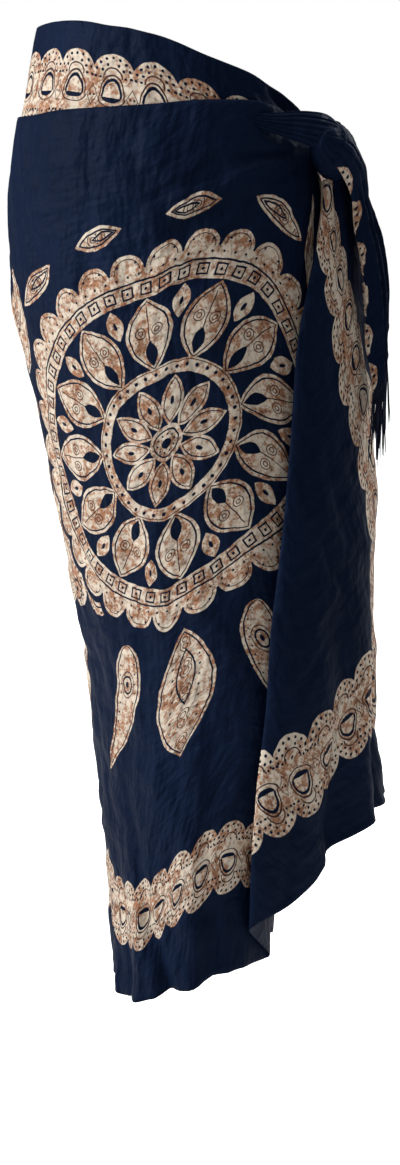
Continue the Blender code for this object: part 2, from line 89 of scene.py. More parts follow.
GUIDES = (
    ("short_edge", (20, 50, 62, 70, 80, 92), (22, 20, 18, 20, 32, 58), -0.117, -0.735),
    ("side_border", (17, 40, 48, 54, 59, 65), (23, 25, 24, 29, 48, 86), -0.112, -0.748),
    ("left_outline", (14, 25, 30, 33, 35, 37), (23, 27, 31, 36, 60, 103), -0.1065, -0.777),
    ("left_side", (10, 9, 8, 8, 7, 7), (23, 25, 27, 32, 48, 77), -0.101, -0.778),
    ("ridge", (6.5, -5, -11, -15, -16, -16), (21, 24, 25, 27, 34, 47), -0.099, -0.832),
    ("fold_front", (3, -14, -23, -31, -33, -32), (18, 20, 20, 21, 22, 24), -0.0972, -0.857),
    ("fold_edge", (1, -17, -26, -34, -36, -35), (14, 15, 15, 15, 16, 17), -0.0965, -0.866),
    ("fold_back", (1.5, -15.5, -24, -32, -34, -33), (10.5, 11, 10.5, 10.5, 11, 11), -0.0955, -0.876),
    ("middle", (3, -12, -20, -27, -28, -25), (8, 8, 7.5, 7.5, 8, 8), -0.0945, -0.900),
    ("inner_turn", (5, -8, -15, -22, -22, -16), (4.5,) * 6, -0.093, -0.925),
    ("front_start", (3, -10, -17.5, -24.5, -24, -18.5), (0.5,) * 6, -0.050, -0.926),
    ("front_left", (-12, -26, -34, -40, -42, -40), (0,) * 6, -0.024, -0.919),
    ("front", (-36, -46, -52, -58, -60, -60), (0,) * 6, -0.018, -0.939),
    ("front_centre", (-61, -68, -74, -78, -80, -80), (0,) * 6, -0.0225, -0.967),
    upright("front_right", -105, -0.031, -0.988),
    upright("right_front", -130, -0.040, -0.992),
    upright("right_side", -160, -0.046, -0.998),
    upright("right_back", -190, -0.048, -1.000),
    upright("back_right", -220, -0.051, -0.996),
    upright("back", -250, -0.063, -0.988),
    upright("back_centre", -280, -0.080, -0.976),
    upright("back_left", -310, -0.094, -0.958, -1.0),
    upright("under_edge", -330, -0.100, -0.936, -6.5),
    ("under_knot", (-348, -350, -352, -354, -356, -358), (-9.5,) * 6, -0.104, -0.912),
    ("inner_middle", (-357, -368, -375, -381, -386, -390), (-9.5,) * 6, -0.107, -0.895),
    ("inner_edge", (-364, -386, -397, -406, -412, -416), (-9.5,) * 6, -0.112, -0.890),
)
GUIDE_NAMES = [guide[0] for guide in GUIDES]

# Waist: height of the cloth's folded top edge at angles round the hollow
WAIST = (
    (7, -0.036),
    (-3, -0.020),
    (-20, 0.005),
    (-40, 0.025),
    (-61, 0.041),
    (-82, 0.049),
    (-105, 0.053),
    (-125, 0.051),
    (-145, 0.045),
    (-180, 0.040),
    (-225, 0.028),
    (-250, 0.012),
    (-280, -0.010),
    (-315, -0.038),
    (-336, -0.044),
    (-357, -0.047),
)

# Soft creases: kind, start angle and height, end angle and height, half width, depth.
# A hem crease grows towards its end, and a pull crease is deepest halfway. A trough is negative.
WRAP_CREASES = (
    ("hem", -110, -0.66, -66, -0.965, 0.011, -0.012),
    ("hem", -96, -0.72, -84, -1.00, 0.016, 0.007),
    ("hem", -60, -0.70, -56, -0.96, 0.010, 0.006),
    ("hem", -50, -0.76, -48, -0.95, 0.008, -0.007),
    ("hem", -40, -0.78, -33, -0.95, 0.010, 0.004),
    ("hem", -68, -0.62, -67, -0.90, 0.007, -0.003),
    ("hem", -150, -0.60, -128, -1.01, 0.014, -0.008),
    ("hem", -134, -0.70, -112, -1.01, 0.014, 0.007),
    ("hem", -176, -0.48, -168, -1.02, 0.020, 0.009),
    ("hem", -200, -0.52, -196, -1.02, 0.016, -0.010),
    ("hem", -226, -0.44, -222, -1.02, 0.022, 0.010),
    ("hem", -252, -0.52, -247, -1.02, 0.017, -0.010),
    ("hem", -276, -0.46, -272, -1.02, 0.022, 0.009),
    ("pull", -8, -0.060, -56, -0.105, 0.009, -0.0040),
    ("pull", -10, -0.070, -62, -0.155, 0.010, -0.0040),
    ("pull", -12, -0.085, -58, -0.215, 0.012, -0.0035),
    ("pull", -8, -0.045, -48, -0.062, 0.008, -0.0030),
    ("pull", -12, -0.078, -66, -0.130, 0.010, 0.0035),
    ("pull", -322, -0.080, -262, -0.150, 0.011, -0.0045),
    ("pull", -322, -0.095, -270, -0.230, 0.013, -0.0040),
    ("pull", -322, -0.070, -256, -0.100, 0.010, -0.0035),
)
END_CREASES = (
    ("hem", -12, -0.42, -2, -0.84, 0.013, -0.013),
    ("hem", 2, -0.34, 12, -0.82, 0.016, 0.010),
    ("hem", 10, -0.46, 22, -0.82, 0.011, -0.013),
    ("hem", 34, -0.40, 50, -0.80, 0.018, -0.008),
    ("hem", 46, -0.40, 72, -0.78, 0.020, 0.008),
)
# The finer creases that only the cloth itself shows
FINE_WRAP_CREASES = (
    ("pull", -100, -0.665, -60, -0.700, 0.0045, -0.0016),
    ("pull", -104, -0.690, -70, -0.722, 0.0040, 0.0014),
    ("pull", -96, -0.725, -62, -0.742, 0.0045, -0.0016),
    ("pull", -110, -0.740, -84, -0.790, 0.0050, -0.0018),
    ("pull", -78, -0.640, -72, -0.770, 0.0040, 0.0014),
    ("pull", -66, -0.610, -63, -0.800, 0.0045, -0.0018),
    ("pull", -57, -0.640, -55, -0.860, 0.0045, 0.0016),
    ("pull", -88, -0.600, -80, -0.700, 0.0050, -0.0015),
    ("hem", -118, -0.760, -96, -0.990, 0.0060, -0.0040),
    ("hem", -76, -0.800, -76, -0.960, 0.0050, 0.0030),
    ("hem", -54, -0.780, -52, -0.950, 0.0045, -0.0025),
    ("hem", -44, -0.800, -41, -0.930, 0.0050, 0.0025),
    ("pull", -136, -0.215, -96, -0.150, 0.0070, -0.0016),
    ("pull", -140, -0.120, -86, -0.098, 0.0060, -0.0014),
    ("pull", -120, -0.085, -66, -0.072, 0.0050, 0.0014),
    ("pull", -30, -0.300, -24, -0.480, 0.0060, -0.0020),
    ("pull", -150, -0.380, -112, -0.440, 0.0080, -0.0014),
    ("pull", -170, -0.180, -120, -0.260, 0.0080, -0.0016),
    ("pull", -206, -0.160, -150, -0.205, 0.0080, -0.0018),
    ("pull", -262, -0.205, -206, -0.260, 0.0080, -0.0020),
    ("pull", -300, -0.290, -250, -0.380, 0.0090, -0.0022),
    ("hem", -214, -0.620, -209, -1.020, 0.0070, 0.0040),
    ("hem", -238, -0.600, -234, -1.020, 0.0060, -0.0035),
    ("hem", -264, -0.640, -259, -1.020, 0.0070, 0.0040),
    ("hem", -290, -0.560, -286, -1.000, 0.0080, -0.0045),
)
FINE_END_CREASES = (
    ("pull", -14, -0.330, -4, -0.470, 0.0050, -0.0020),
    ("pull", -4, -0.400, 12, -0.520, 0.0050, 0.0018),
    ("pull", -20, -0.420, 2, -0.560, 0.0045, -0.0020),
    ("pull", -26, -0.560, -6, -0.480, 0.0040, 0.0016),
    ("pull", -28, -0.610, -12, -0.540, 0.0045, -0.0018),
    ("pull", 6, -0.180, 20, -0.360, 0.0060, -0.0020),
    ("pull", 22, -0.250, 40, -0.420, 0.0070, 0.0022),
    ("hem", -24, -0.640, -22, -0.830, 0.0055, -0.0035),
    ("hem", -8, -0.660, -6, -0.810, 0.0050, 0.0035),
    ("hem", 26, -0.520, 34, -0.780, 0.0070, -0.0045),
    ("hem", 60, -0.480, 80, -0.760, 0.0080, 0.0045),
)

TAIL_FOLDS = 2.5
FRONT_TAIL_SLANT = 0.064
BACK_TAIL_SLANT = -0.065
FRINGE_LENGTH = 0.080


def smooth_through(stations, values, at):
    """Values on a smooth curve through a table's rows, with no overshoot between rows."""
    x = np.asarray(stations, float)
    y = np.asarray(values, float).reshape(len(x), -1)
    at = np.clip(np.asarray(at, float), x[0], x[-1])
    step = np.diff(x)[:, None]
    slope = np.diff(y, axis=0) / step
    tangent = np.vstack([slope[:1], np.zeros_like(slope[1:]), slope[-1:]])
    product = slope[:-1] * slope[1:]
    flat = np.zeros_like(slope[1:])
    tangent[1:-1] = np.divide(2 * product, slope[:-1] + slope[1:], out=flat, where=product > 0)
    k = np.clip(np.searchsorted(x, at, side="right") - 1, 0, len(x) - 2)
    h = step[k]
    s = ((at - x[k]) / h[:, 0])[:, None]
    blend_start = (1 + 2 * s) * (1 - s) ** 2
    blend_end = s * s * (3 - 2 * s)
    out = blend_start * y[k] + blend_end * y[k + 1]
    return out + s * (1 - s) ** 2 * h * tangent[k] - s * s * (1 - s) * h * tangent[k + 1]


def section(z):
    """The hollow's section at each height: centre, half width, half depth and turn in radians."""
    upwards = SECTIONS[::-1]
    found = smooth_through([row[0] for row in upwards], [row[1:] for row in upwards], np.ravel(z))
    centre_x, centre_y, half_width, half_depth, turn_deg = found.T.reshape((5,) + np.shape(z))
    return centre_x, centre_y, half_width, half_depth, np.radians(turn_deg)


def section_radius(angle, half_width, half_depth, turn):
    """Distance from the section's centre to its outline at an angle in radians."""
    local = angle - turn
    return half_width * half_depth / np.hypot(half_depth * np.cos(local), half_width * np.sin(local))


def place(angle_deg, stand_off, z):
    """Points at an angle round the hollow's section, that far outside it, at height z."""
    angle_deg, stand_off, z = np.broadcast_arrays(angle_deg, stand_off, z)
    centre_x, centre_y, *outline = section(z)
    angle = np.radians(angle_deg)
    reach = section_radius(angle, *outline) + stand_off
    return np.stack([centre_x + reach * np.cos(angle), centre_y + reach * np.sin(angle), z], axis=-1)


def relief(creases, angle_deg, z):
    """How far the creases move the cloth outwards."""
    total = np.zeros(np.broadcast(angle_deg, z).shape)
    arc = np.radians(angle_deg) * MEAN_RADIUS
    for kind, start_deg, start_z, end_deg, end_z, half_width, depth in creases:
        start = (math.radians(start_deg) * MEAN_RADIUS, start_z)
        run = (math.radians(end_deg) * MEAN_RADIUS - start[0], end_z - start[1])
        length = math.hypot(*run)
        along = ((arc - start[0]) * run[0] + (z - start[1]) * run[1]) / length**2
        along = np.clip(along, 0, 1)
        away = np.hypot(arc - start[0] - along * run[0], z - start[1] - along * run[1])
        share = along**2 * (3 - 2 * along) if kind == "hem" else 4 * along * (1 - along)
        total = total + depth * share * np.exp(-((away / half_width) ** 2))
    return total


def gathers(angle_deg, z):
    """Pleats that radiate from the knot and fade away from it, broad ones and finer ones between."""
    turned = (np.asarray(angle_deg, float) - KNOT_ANGLE + 180) % 360 - 180
    arc = np.radians(turned) * MEAN_RADIUS
    drop = z - KNOT_HEIGHT
    away = np.hypot(arc, drop)
    bearing = np.arctan2(drop, arc)
    rise = np.clip(away / 0.030, 0, 1)
    broad = GATHER_DEPTH * np.cos(GATHER_COUNT * bearing) * np.exp(-((away / GATHER_REACH) ** 2))
    fine = np.cos(FINE_GATHER_COUNT * bearing + 2 * np.sin(5 * bearing))
    return rise * (broad + FINE_GATHER_DEPTH * fine * np.exp(-((away / FINE_GATHER_REACH) ** 2)))


def soft_noise(x, y, cell_x, cell_y, seed):
    """Smooth bumps of about -1 to 1 on a lattice with these cells."""
    lattice = np.random.default_rng(seed).uniform(-1, 1, (64, 64))
    x, y = np.asarray(x) / cell_x, np.asarray(y) / cell_y
    i, j = np.floor(x).astype(int), np.floor(y).astype(int)
    s, t = x - i, y - j
    s, t = s * s * s * (s * (6 * s - 15) + 10), t * t * t * (t * (6 * t - 15) + 10)
    i, j, i_next, j_next = i % 64, j % 64, (i + 1) % 64, (j + 1) % 64
    low = lattice[i, j] * (1 - s) + lattice[i_next, j] * s
    high = lattice[i, j_next] * (1 - s) + lattice[i_next, j_next] * s
    return low * (1 - t) + high * t


def crumple(angle_deg, z):
    """Small uneven wrinkles of soft rayon: long upright ones, slanting ones and short cross ones."""
    arc = np.radians(angle_deg) * MEAN_RADIUS
    long_ones = soft_noise(arc, z, 0.032, 0.170, 11)
    slanting = soft_noise(arc + 0.6 * z, z - 0.6 * arc, 0.024, 0.110, 23)
    short_ones = soft_noise(arc + 0.2 * z, z, 0.075, 0.016, 37)
    lower = np.clip((-z - 0.30) / 0.45, 0, 1)
    return 0.0026 * (0.35 + lower) * long_ones + 0.0023 * slanting + 0.0014 * (0.3 + lower) * short_ones


def guide_rows(level):
    """Each guide's arc, stand-off and height at one level, from 0 at the top to 1 at the hem."""
    angles = smooth_through(LEVELS, np.array([g[1] for g in GUIDES], float).T, [level])[0]
    stand_offs = smooth_through(LEVELS, np.array([g[2] for g in GUIDES], float).T, [level])[0] / 1000
    z_top = np.array([g[3] for g in GUIDES])
    z_hem = np.array([g[4] for g in GUIDES])
    heights = z_top + (z_hem - z_top) * level
    return np.stack([np.radians(angles) * MEAN_RADIUS, stand_offs, heights], axis=1)


def spline_at(control, at):
    """Points on a rounded curve through the control points, at positions counted in control points."""
    chord = np.sqrt(np.linalg.norm(np.diff(control, axis=0), axis=1))
    k = np.clip(np.floor(at).astype(int), 0, len(control) - 2)
    share = (at - k)[:, None]
    slope = np.diff(control, axis=0) / chord[:, None]
    tangent = np.vstack([slope[:1], np.zeros_like(slope[1:]), slope[-1:]])
    before, after = chord[:-1, None], chord[1:, None]
    tangent[1:-1] = (after * slope[:-1] + before * slope[1:]) / (before + after)
    h = chord[k][:, None]
    start = (1 + 2 * share) * (1 - share) ** 2 * control[k] + share * (1 - share) ** 2 * h * tangent[k]
    end = share**2 * (3 - 2 * share) * control[k + 1] - share**2 * (1 - share) * h * tangent[k + 1]
    return start + end


def along_guides(level, at):
    """Angle in degrees, stand-off and height of the cloth at one level and these positions along it."""
    arc, stand_off, z = spline_at(guide_rows(level), at).T
    return np.degrees(arc / MEAN_RADIUS), stand_off, z


def ramp(x, start, end):
    """0 before start, 1 after end, smooth between."""
    t = np.clip((np.asarray(x, float) - start) / (end - start), 0, 1)
    return t * t * (3 - 2 * t)


def folds(at, angle, z, finer=True):
    """How far the folds, gathers and wrinkles move the cloth outwards at these positions along it."""
    outer = np.clip(GUIDE_NAMES.index("middle") - at, 0, 1)
    inner = np.clip(at - GUIDE_NAMES.index("front_start"), 0, 1)
    under = np.clip(at - GUIDE_NAMES.index("back_left"), 0, 1)
    inner = inner * (1 - under)
    moved = outer * relief(END_CREASES, angle, z) + inner * relief(WRAP_CREASES, angle, z)
    moved = moved + (outer + inner) * gathers(angle, z)
    if finer:
        free = np.maximum(1 - ramp(at, 3.4, 4.6), ramp(at, 10.4, 11.6)) * (1 - 0.7 * under)
        moved = moved + outer * relief(FINE_END_CREASES, angle, z)
        moved = moved + inner * relief(FINE_WRAP_CREASES, angle, z)
        moved = moved + free * crumple(angle, z)
    return moved


def wrap_surface(at, levels, finer=True):
    """Angle, stand-off with its folds, and height of the wrapped cloth at each level and position."""
    rows = []
    for level in levels:
        angle, stand_off, z = along_guides(level, at)
        rows.append(np.stack([angle, stand_off + folds(at, angle, z, finer), z], axis=-1))
    return np.array(rows)


# Profile of the wrap's folded top edge, from inside over the top: stand-off and drop in millimetres, and the
# share of the way to the cloth beneath that the outer end is drawn in under the knot
EDGE_ROLL = (
    (-2.0, 22.0, 0.88),
    (-2.0, 15.0, 0.62),
    (-1.9, 9.0, 0.30),
    (-1.7, 3.6, 0.05),
    (-1.5, 1.2, 0.0),
    (-0.9, 0.0, 0.0),
    (-0.3, 1.0, 0.0),
)
# Share of the way from the outer end's top edge to the knot's middle, for the same rows
INTO_KNOT = (0.80, 0.58, 0.38, 0.22, 0.11, 0.04, 0.0)


def wrap_grid(at, levels):
    """Points of the wrapped cloth, its rolled top edge first. Below the knot that edge runs up into it."""
    surface = wrap_surface(at, levels)
    angle, stand_off, z = along_guides(0.0, at)
    drawn = stand_off * (1 - ramp(at, 5.0, 6.0))
    rows = []
    for inward, drop, share in EDGE_ROLL:
        height = z - drop / 1000
        out = stand_off + inward / 1000 - drawn * share + folds(at, angle, height)
        rows.append(place(angle, out, height))
    outside = place(surface[..., 0], surface[..., 1], surface[..., 2])
    middle = place(KNOT_ANGLE, KNOT_STAND_OFF, KNOT_HEIGHT)
    gathered = (1 - ramp(at, 5.6, 7.0))[:, None]
    edge = outside[0]
    rows = [
        row * (1 - gathered) + (edge + (middle - edge) * share) * gathered
        for row, share in zip(rows, INTO_KNOT)
    ]
    return np.concatenate([rows, outside])


# The waist above the wrap's edge: share of the height above that edge, and stand-off in millimetres
WAIST_PROFILE = ((0.0, -3.9), (0.30, -4.0), (0.65, -2.6), (1.0, -0.6))
# Its folded top edge, from inside over the top: share of the fold's depth below the top, and distance behind
# the outer layer in millimetres
WAIST_FOLD = ((1.0, 2.2), (0.66, 2.0), (0.35, 1.8), (0.12, 1.5), (0.035, 1.2), (0.0, 0.55), (0.030, 0.05))
# The waist's first columns, which close the wrap behind the knot: angle, and height of their lower end
BEHIND_KNOT = ((24, -0.121), (20, -0.119), (16, -0.117), (12, -0.114), (9, -0.110), (6, -0.085))


def waist_lines(at):
    """Angle, stand-off and lower edge of the waist's columns, those behind the knot first."""
    angle, stand_off, edge = along_guides(0.0, at)
    angle = np.concatenate([[row[0] for row in BEHIND_KNOT], angle])
    stand_off = np.concatenate([[0.0005] * len(BEHIND_KNOT), stand_off])
    edge = np.concatenate([[row[1] for row in BEHIND_KNOT], edge])
    at = np.concatenate([[GUIDE_NAMES.index("front_start")] * len(BEHIND_KNOT), at])
    return at, angle, stand_off, edge


def waist_grid(at):
    """Points of the waist above the wrap's edge, from inside its folded top edge down into the tuck."""
    at, angle, stand_off, edge = waist_lines(at)
    top = smooth_through([-row[0] for row in WAIST], [row[1] for row in WAIST], -angle)[:, 0]
    uneven = soft_noise(np.radians(angle) * MEAN_RADIUS, 0 * angle, 0.045, 1.0, 5)
    top = top - 0.001 * np.maximum(angle - 7, 0) + 0.0012 * uneven
    shares, inwards = [row[0] for row in WAIST_PROFILE], [row[1] for row in WAIST_PROFILE]
    deep = np.minimum(0.026, 0.9 * (top - edge))
    rows = []
    for share, behind in WAIST_FOLD:
        z = top - deep * share
        inward = smooth_through(shares, inwards, (z - edge) / (top - edge))[:, 0]
        rows.append(place(angle, stand_off + (inward - behind) / 1000 + folds(at, angle, z), z))
    fold_rows = len(rows)
    for share in np.linspace(0.96, 0, 22):
        z = edge + (top - edge) * share
        inward = smooth_through(shares, inwards, [share])[0, 0]
        rows.append(place(angle, stand_off + inward / 1000 + folds(at, angle, z), z))
    for drop in (0.002, 0.0045, 0.0075):
        rows.append(place(angle, stand_off - 0.0040 + folds(at, angle, edge - drop), edge - drop))
    return np.array(rows), fold_rows


def waist_places(grid, fold_rows, at):
    """Places on the cut cloth for the waist, measured from its folded top edge and from the front."""
    down = lengths(grid, 0)
    down = down - down[fold_rows - 2][None, :]
    side = lengths(grid, 1)[fold_rows + 8]
    angle = waist_lines(at)[1]
    run = 0.700 + 0.93 * (side - np.interp(90, -angle, side))
    return np.stack([np.broadcast_to(run, down.shape), down + 0.034], axis=-1)


# The cloth that is pulled over the knot and falls as each tail: angle, stand-off and height of its middle
# line, its width, the depth of its pleats, and how far its sides curl in round the knot. Stand-off and curl
# are in millimetres.
FRONT_FALL = (
    (-31, -9.0, -0.0310, 0.006, 0.0004, 0),
    (-23, -2.5, -0.0350, 0.010, 0.0010, 1),
    (-15, 8, -0.0400, 0.018, 0.0016, 2),
    (-7, 26, -0.0440, 0.030, 0.0018, 5),
    (0, 43, -0.0520, 0.040, 0.0018, 12),
    (4.5, 50.5, -0.0660, 0.044, 0.0018, 16),
    (7.5, 50.5, -0.0830, 0.042, 0.0020, 15),
    (9.3, 45, -0.1010, 0.036, 0.0030, 9),
    (10.2, 41, -0.1200, 0.033, 0.0045, 3),
    (10.5, 39.5, -0.1380, 0.033, 0.0055, 0),
    (11.5, 42, -0.1620, 0.036, 0.0060, 0),
    (12, 43.5, -0.1900, 0.038, 0.0068, 0),
    (12, 44, -0.2200, 0.039, 0.0075, 0),
    (12, 44, -0.2520, 0.039, 0.0060, 0),
    (12, 44, -0.2720, 0.038, 0.0052, 0),
)
BACK_FALL = (
    (52, -9.0, -0.0950, 0.006, 0.0004, 0),
    (46, -3.0, -0.0830, 0.012, 0.0010, 0),
    (38, 6, -0.0700, 0.022, 0.0016, 1),
    (28, 22, -0.0600, 0.030, 0.0018, 4),
    (19.5, 35, -0.0640, 0.034, 0.0018, 8),
    (15.5, 38, -0.0790, 0.034, 0.0020, 9),
    (16, 35, -0.0960, 0.030, 0.0026, 5),
    (19.5, 35, -0.1180, 0.031, 0.0040, 1),
    (23, 38, -0.1420, 0.034, 0.0050, 0),
    (26.5, 40.5, -0.1720, 0.042, 0.0050, 0),
    (29, 41.5, -0.2050, 0.048, 0.0050, 0),
    (30, 42, -0.2320, 0.052, 0.0050, 0),
)


def tail_grid(table, slant, side, columns=92, rows=130):
    """Points of the pleated cloth that runs over the knot and falls as a tail, cut off at a slant.

    side is 1 where the cloth comes over the knot with growing angle, and -1 where it comes the other way.
    """
    steps = np.linspace(0, 1, len(table))
    line = smooth_through(steps, table, np.linspace(0, 1, rows))
    angle, stand_off, z, width, depth, curl = line.T
    arc = np.radians(angle) * MEAN_RADIUS
    run_arc, run_z = np.gradient(arc), np.gradient(z)
    hanging = ramp(-z, 0.105, 0.135)
    heading = np.arctan2(run_z, side * run_arc) * (1 - hanging) - math.pi / 2 * hanging
    across_arc, across_z = -np.sin(heading), np.cos(heading)
    across = np.linspace(-0.5, 0.5, columns)
    walked = run_along(np.stack([arc, z], axis=1))
    grid = []
    for i in range(rows):
        bend = across + 0.018 * np.sin(40 * walked[i] + 9 * across)
        wave = np.sin(2 * math.pi * TAIL_FOLDS * bend) * hanging[i]
        pleats = np.abs(np.sin(math.pi * 6.5 * bend + 3 * walked[i])) - 0.6
        wave = wave + pleats * (1 - 0.8 * hanging[i])
        wave = wave + 0.15 * np.sin(2 * math.pi * 17 * bend + 30 * walked[i])
        out = stand_off[i] / 1000 + depth[i] * wave - curl[i] / 1000 * (2 * np.abs(across)) ** 2.2
        reach = (MEAN_RADIUS + stand_off[i] / 1000) / MEAN_RADIUS
        turn = angle[i] + side * np.degrees(across * width[i] * across_arc[i] / (MEAN_RADIUS * reach))
        share = ramp(-z[i], 0.10, -table[-1][2])
        height = z[i] + across * width[i] * across_z[i] + side * slant * across * share
        ripple = 0.0005 * soft_noise(across * 0.06 + 3, walked[i] + 0 * across, 0.010, 0.028, 51)
        grid.append(place(turn, out + ripple, height))
    return np.array(grid)[:, ::-side]


def tail_places(grid, across_start):
    """Places on the cut cloth for a tail: the border shows along one side of its hanging part."""
    down = lengths(grid, 0)
    side = lengths(grid, 1)
    side = side[:, -1:] - side
    over_knot = 0.025 * (1 - ramp(down, 0.085, 0.120))
    return np.stack([0.460 + down, across_start + side * 0.8 + over_knot], axis=-1)


def knot_object(material):
    """The knot as a gathered core with a pleated band of cloth pulled tight across it."""
    rings, sides = 132, 168
    centre = place(KNOT_ANGLE, KNOT_STAND_OFF, KNOT_HEIGHT)
    turn, slope = math.radians(KNOT_ANGLE), math.radians(KNOT_SLOPE_DEG)
    out = np.array([math.cos(turn), math.sin(turn), 0.0])
    back = np.array([-out[1], out[0], 0.0])
    length = back * math.cos(slope) + np.array([0.0, 0.0, math.sin(slope)])
    width = np.cross(out, length)
    t = np.cos(np.linspace(math.pi, 0, rings + 2)[1:-1])[:, None]
    angle = (2 * math.pi * np.arange(sides) / sides)[None, :]
    swell = (1 - np.abs(t) ** 2.4) ** (1 / 2.4)
    middle = t + 0.05 + 0.10 * np.sin(angle + 0.6)
    band = np.exp(-((middle / 0.38) ** 8))
    lip = np.exp(-(((np.abs(middle) - 0.34) / 0.05) ** 2))
    gather_angle = angle + 0.35 * t + 0.10 * np.sin(3 * angle)
    core = 0.050 * np.abs(np.sin(6.5 * gather_angle)) - 0.030 + 0.012 * np.sin(31 * gather_angle + 4 * t)
    across = middle + 0.05 * np.sin(2 * angle)
    strap = 0.020 * np.sin(30 * across + 1.3 * np.sin(angle))
    strap = strap + 0.007 * np.sin(71 * across + 2 * np.cos(2 * angle))
    reach = swell * (0.86 + 0.120 * band + 0.030 * lip + core * (1 - band) + strap * band)
    points = centre + length * (KNOT_SIZE[0] * t)[..., None] + reach[..., None] * (
        width * (KNOT_SIZE[1] * np.cos(angle))[..., None] + out * (KNOT_SIZE[2] * np.sin(angle))[..., None])
    first = centre - length * KNOT_SIZE[0] * 0.999
    last = centre + length * KNOT_SIZE[0] * 0.999
    vertices = [first, *points.reshape(-1, 3), last]
    end, base = len(vertices) - 1, 1 + (rings - 1) * sides
    faces = [(0, 1 + (s + 1) % sides, 1 + s) for s in range(sides)]
    for ring in range(rings - 1):
        low, high = 1 + ring * sides, 1 + (ring + 1) * sides
        faces += [(low + s, low + (s + 1) % sides, high + (s + 1) % sides, high + s) for s in range(sides)]
    faces += [(end, base + s, base + (s + 1) % sides) for s in range(sides)]
    ring_at = np.repeat(np.arange(rings), sides)
    places = np.zeros((len(vertices), 2))
    places[1:-1, 0] = 0.46 + 0.08 * ring_at / rings
    places[1:-1, 1] = 0.175 + 0.045 * np.abs(np.tile(np.linspace(-1, 1, sides), rings))
    places[0], places[-1] = (0.46, 0.19), (0.54, 0.19)
    return mesh_object("knot_folds", [tuple(point) for point in vertices], faces, [material], places)


def end_stand_off(surface, angle, z):
    """Stand-off of the outer end's cloth at angles and heights, held at its edge value beyond the edge."""
    heights, reaches = [], []
    for row in surface:
        heights.append(np.interp(-angle, -row[:, 0], row[:, 2]))
        reaches.append(np.interp(-angle, -row[:, 0], row[:, 1]))
    heights, reaches = np.array(heights)[::-1], np.array(reaches)[::-1]
    return np.array([np.interp(h, heights[:, k], reaches[:, k]) for k, h in enumerate(z)])


def angle_and_reach(points):
    """Angle round the hollow in degrees and distance outside its section, for points anywhere."""
    centre_x, centre_y, *outline = section(points[:, 2])
    away = points[:, :2] - np.stack([centre_x, centre_y], axis=1)
    angle = np.arctan2(away[:, 1], away[:, 0])
    return np.degrees(angle), np.linalg.norm(away, axis=1) - section_radius(angle, *outline)


# Corners of a thread's tube, and its twist in radians from one station to the next
THREAD_CORNERS = 3
THREAD_TWIST = 0.5
# Thickness of a thread along its length: held in the cloth, a tight head, the body and the thin end
THREAD_PROFILE = (0.7, 1.1, 1.7, 1.1, 1.0, 1.0, 1.05, 1.0, 0.9, 0.5)


def hanging_paths(starts, leans, long, surface, clear=0.0036):
    """Paths of threads that hang from their starts, leaning a little, outside the cloth behind them."""
    paths = [starts]
    for share in (0.04, 0.10, 0.20, 0.34, 0.50, 0.66, 0.83, 1.0):
        drop = long * share
        points = starts + leans * drop[:, None] - np.array([0, 0, 1.0]) * drop[:, None]
        angle, reach = angle_and_reach(points)
        behind = end_stand_off(surface, angle, points[:, 2]) + clear
        held = np.where(reach < behind, behind, reach)
        paths.append(place(angle, held, points[:, 2]))
    return np.stack(paths, axis=1)


def thread_object(name, paths, radii, material):
    """Many threads in one mesh: a three-sided tube along each path, closed at both ends."""
    count, stations = paths.shape[:2]
    heading = np.gradient(paths, axis=1)
    heading /= np.linalg.norm(heading, axis=2, keepdims=True)
    side = np.cross(heading[:, 0], (0.31, 0.17, 0.93))
    side /= np.linalg.norm(side, axis=1, keepdims=True)
    vertices = []
    for k in range(stations):
        side = side - heading[:, k] * np.sum(side * heading[:, k], axis=1, keepdims=True)
        side /= np.linalg.norm(side, axis=1, keepdims=True)
        deep = np.cross(heading[:, k], side)
        for corner in range(THREAD_CORNERS):
            turn = 2 * math.pi * corner / THREAD_CORNERS + THREAD_TWIST * k
            outward = side * math.cos(turn) + deep * math.sin(turn)
            vertices.append(paths[:, k] + outward * radii[:, k, None])
    vertices = np.stack(vertices, axis=1)
    faces = []
    for thread in range(count):
        base = thread * stations * THREAD_CORNERS
        faces.append((base + 2, base + 1, base))
        for k in range(stations - 1):
            low = base + THREAD_CORNERS * k
            for corner in range(THREAD_CORNERS):
                a, b = low + corner, low + (corner + 1) % THREAD_CORNERS
                faces.append((a, b, b + THREAD_CORNERS, a + THREAD_CORNERS))
        top = base + THREAD_CORNERS * (stations - 1)
        faces.append((top, top + 1, top + 2))
    return mesh_object(name, vertices.reshape(-1, 3).tolist(), faces, [material])


def fringe_object(name, edge, inner, shares, surface, material, seed, spread=0.0, lean_back=0.0):
    """A fringe of threads at shares of an edge of the cloth. inner is the cloth's next line inwards."""
    near, inside = on_line(edge, shares), on_line(inner, shares)
    chance = np.random.default_rng(seed)
    count = len(near)
    outward = near - inside
    outward /= np.linalg.norm(outward, axis=1, keepdims=True)
    level = outward * (1, 1, 0)
    level /= np.maximum(np.linalg.norm(level, axis=1, keepdims=True), 1e-6)
    starts = near + outward * 0.0016
    middle = near.mean(axis=0)
    leans = (starts - middle) * (1, 1, 0) * spread / FRINGE_LENGTH + level * lean_back
    leans = leans + chance.normal(0, 0.030, (count, 3)) * (1, 1, 0)
    long = FRINGE_LENGTH * chance.uniform(0.88, 1.0, count)
    paths = hanging_paths(starts, leans, long, surface)
    paths = np.concatenate([(near - outward * 0.0012)[:, None], paths], axis=1)
    thick = chance.uniform(0.00060, 0.00085, (count, 1))
    return thread_object(name, paths, thick * np.array(THREAD_PROFILE), material)


def run_along(line):
    """Distance walked along a line of points, from its first."""
    return np.concatenate([[0], np.cumsum(np.linalg.norm(np.diff(line, axis=0), axis=1))])


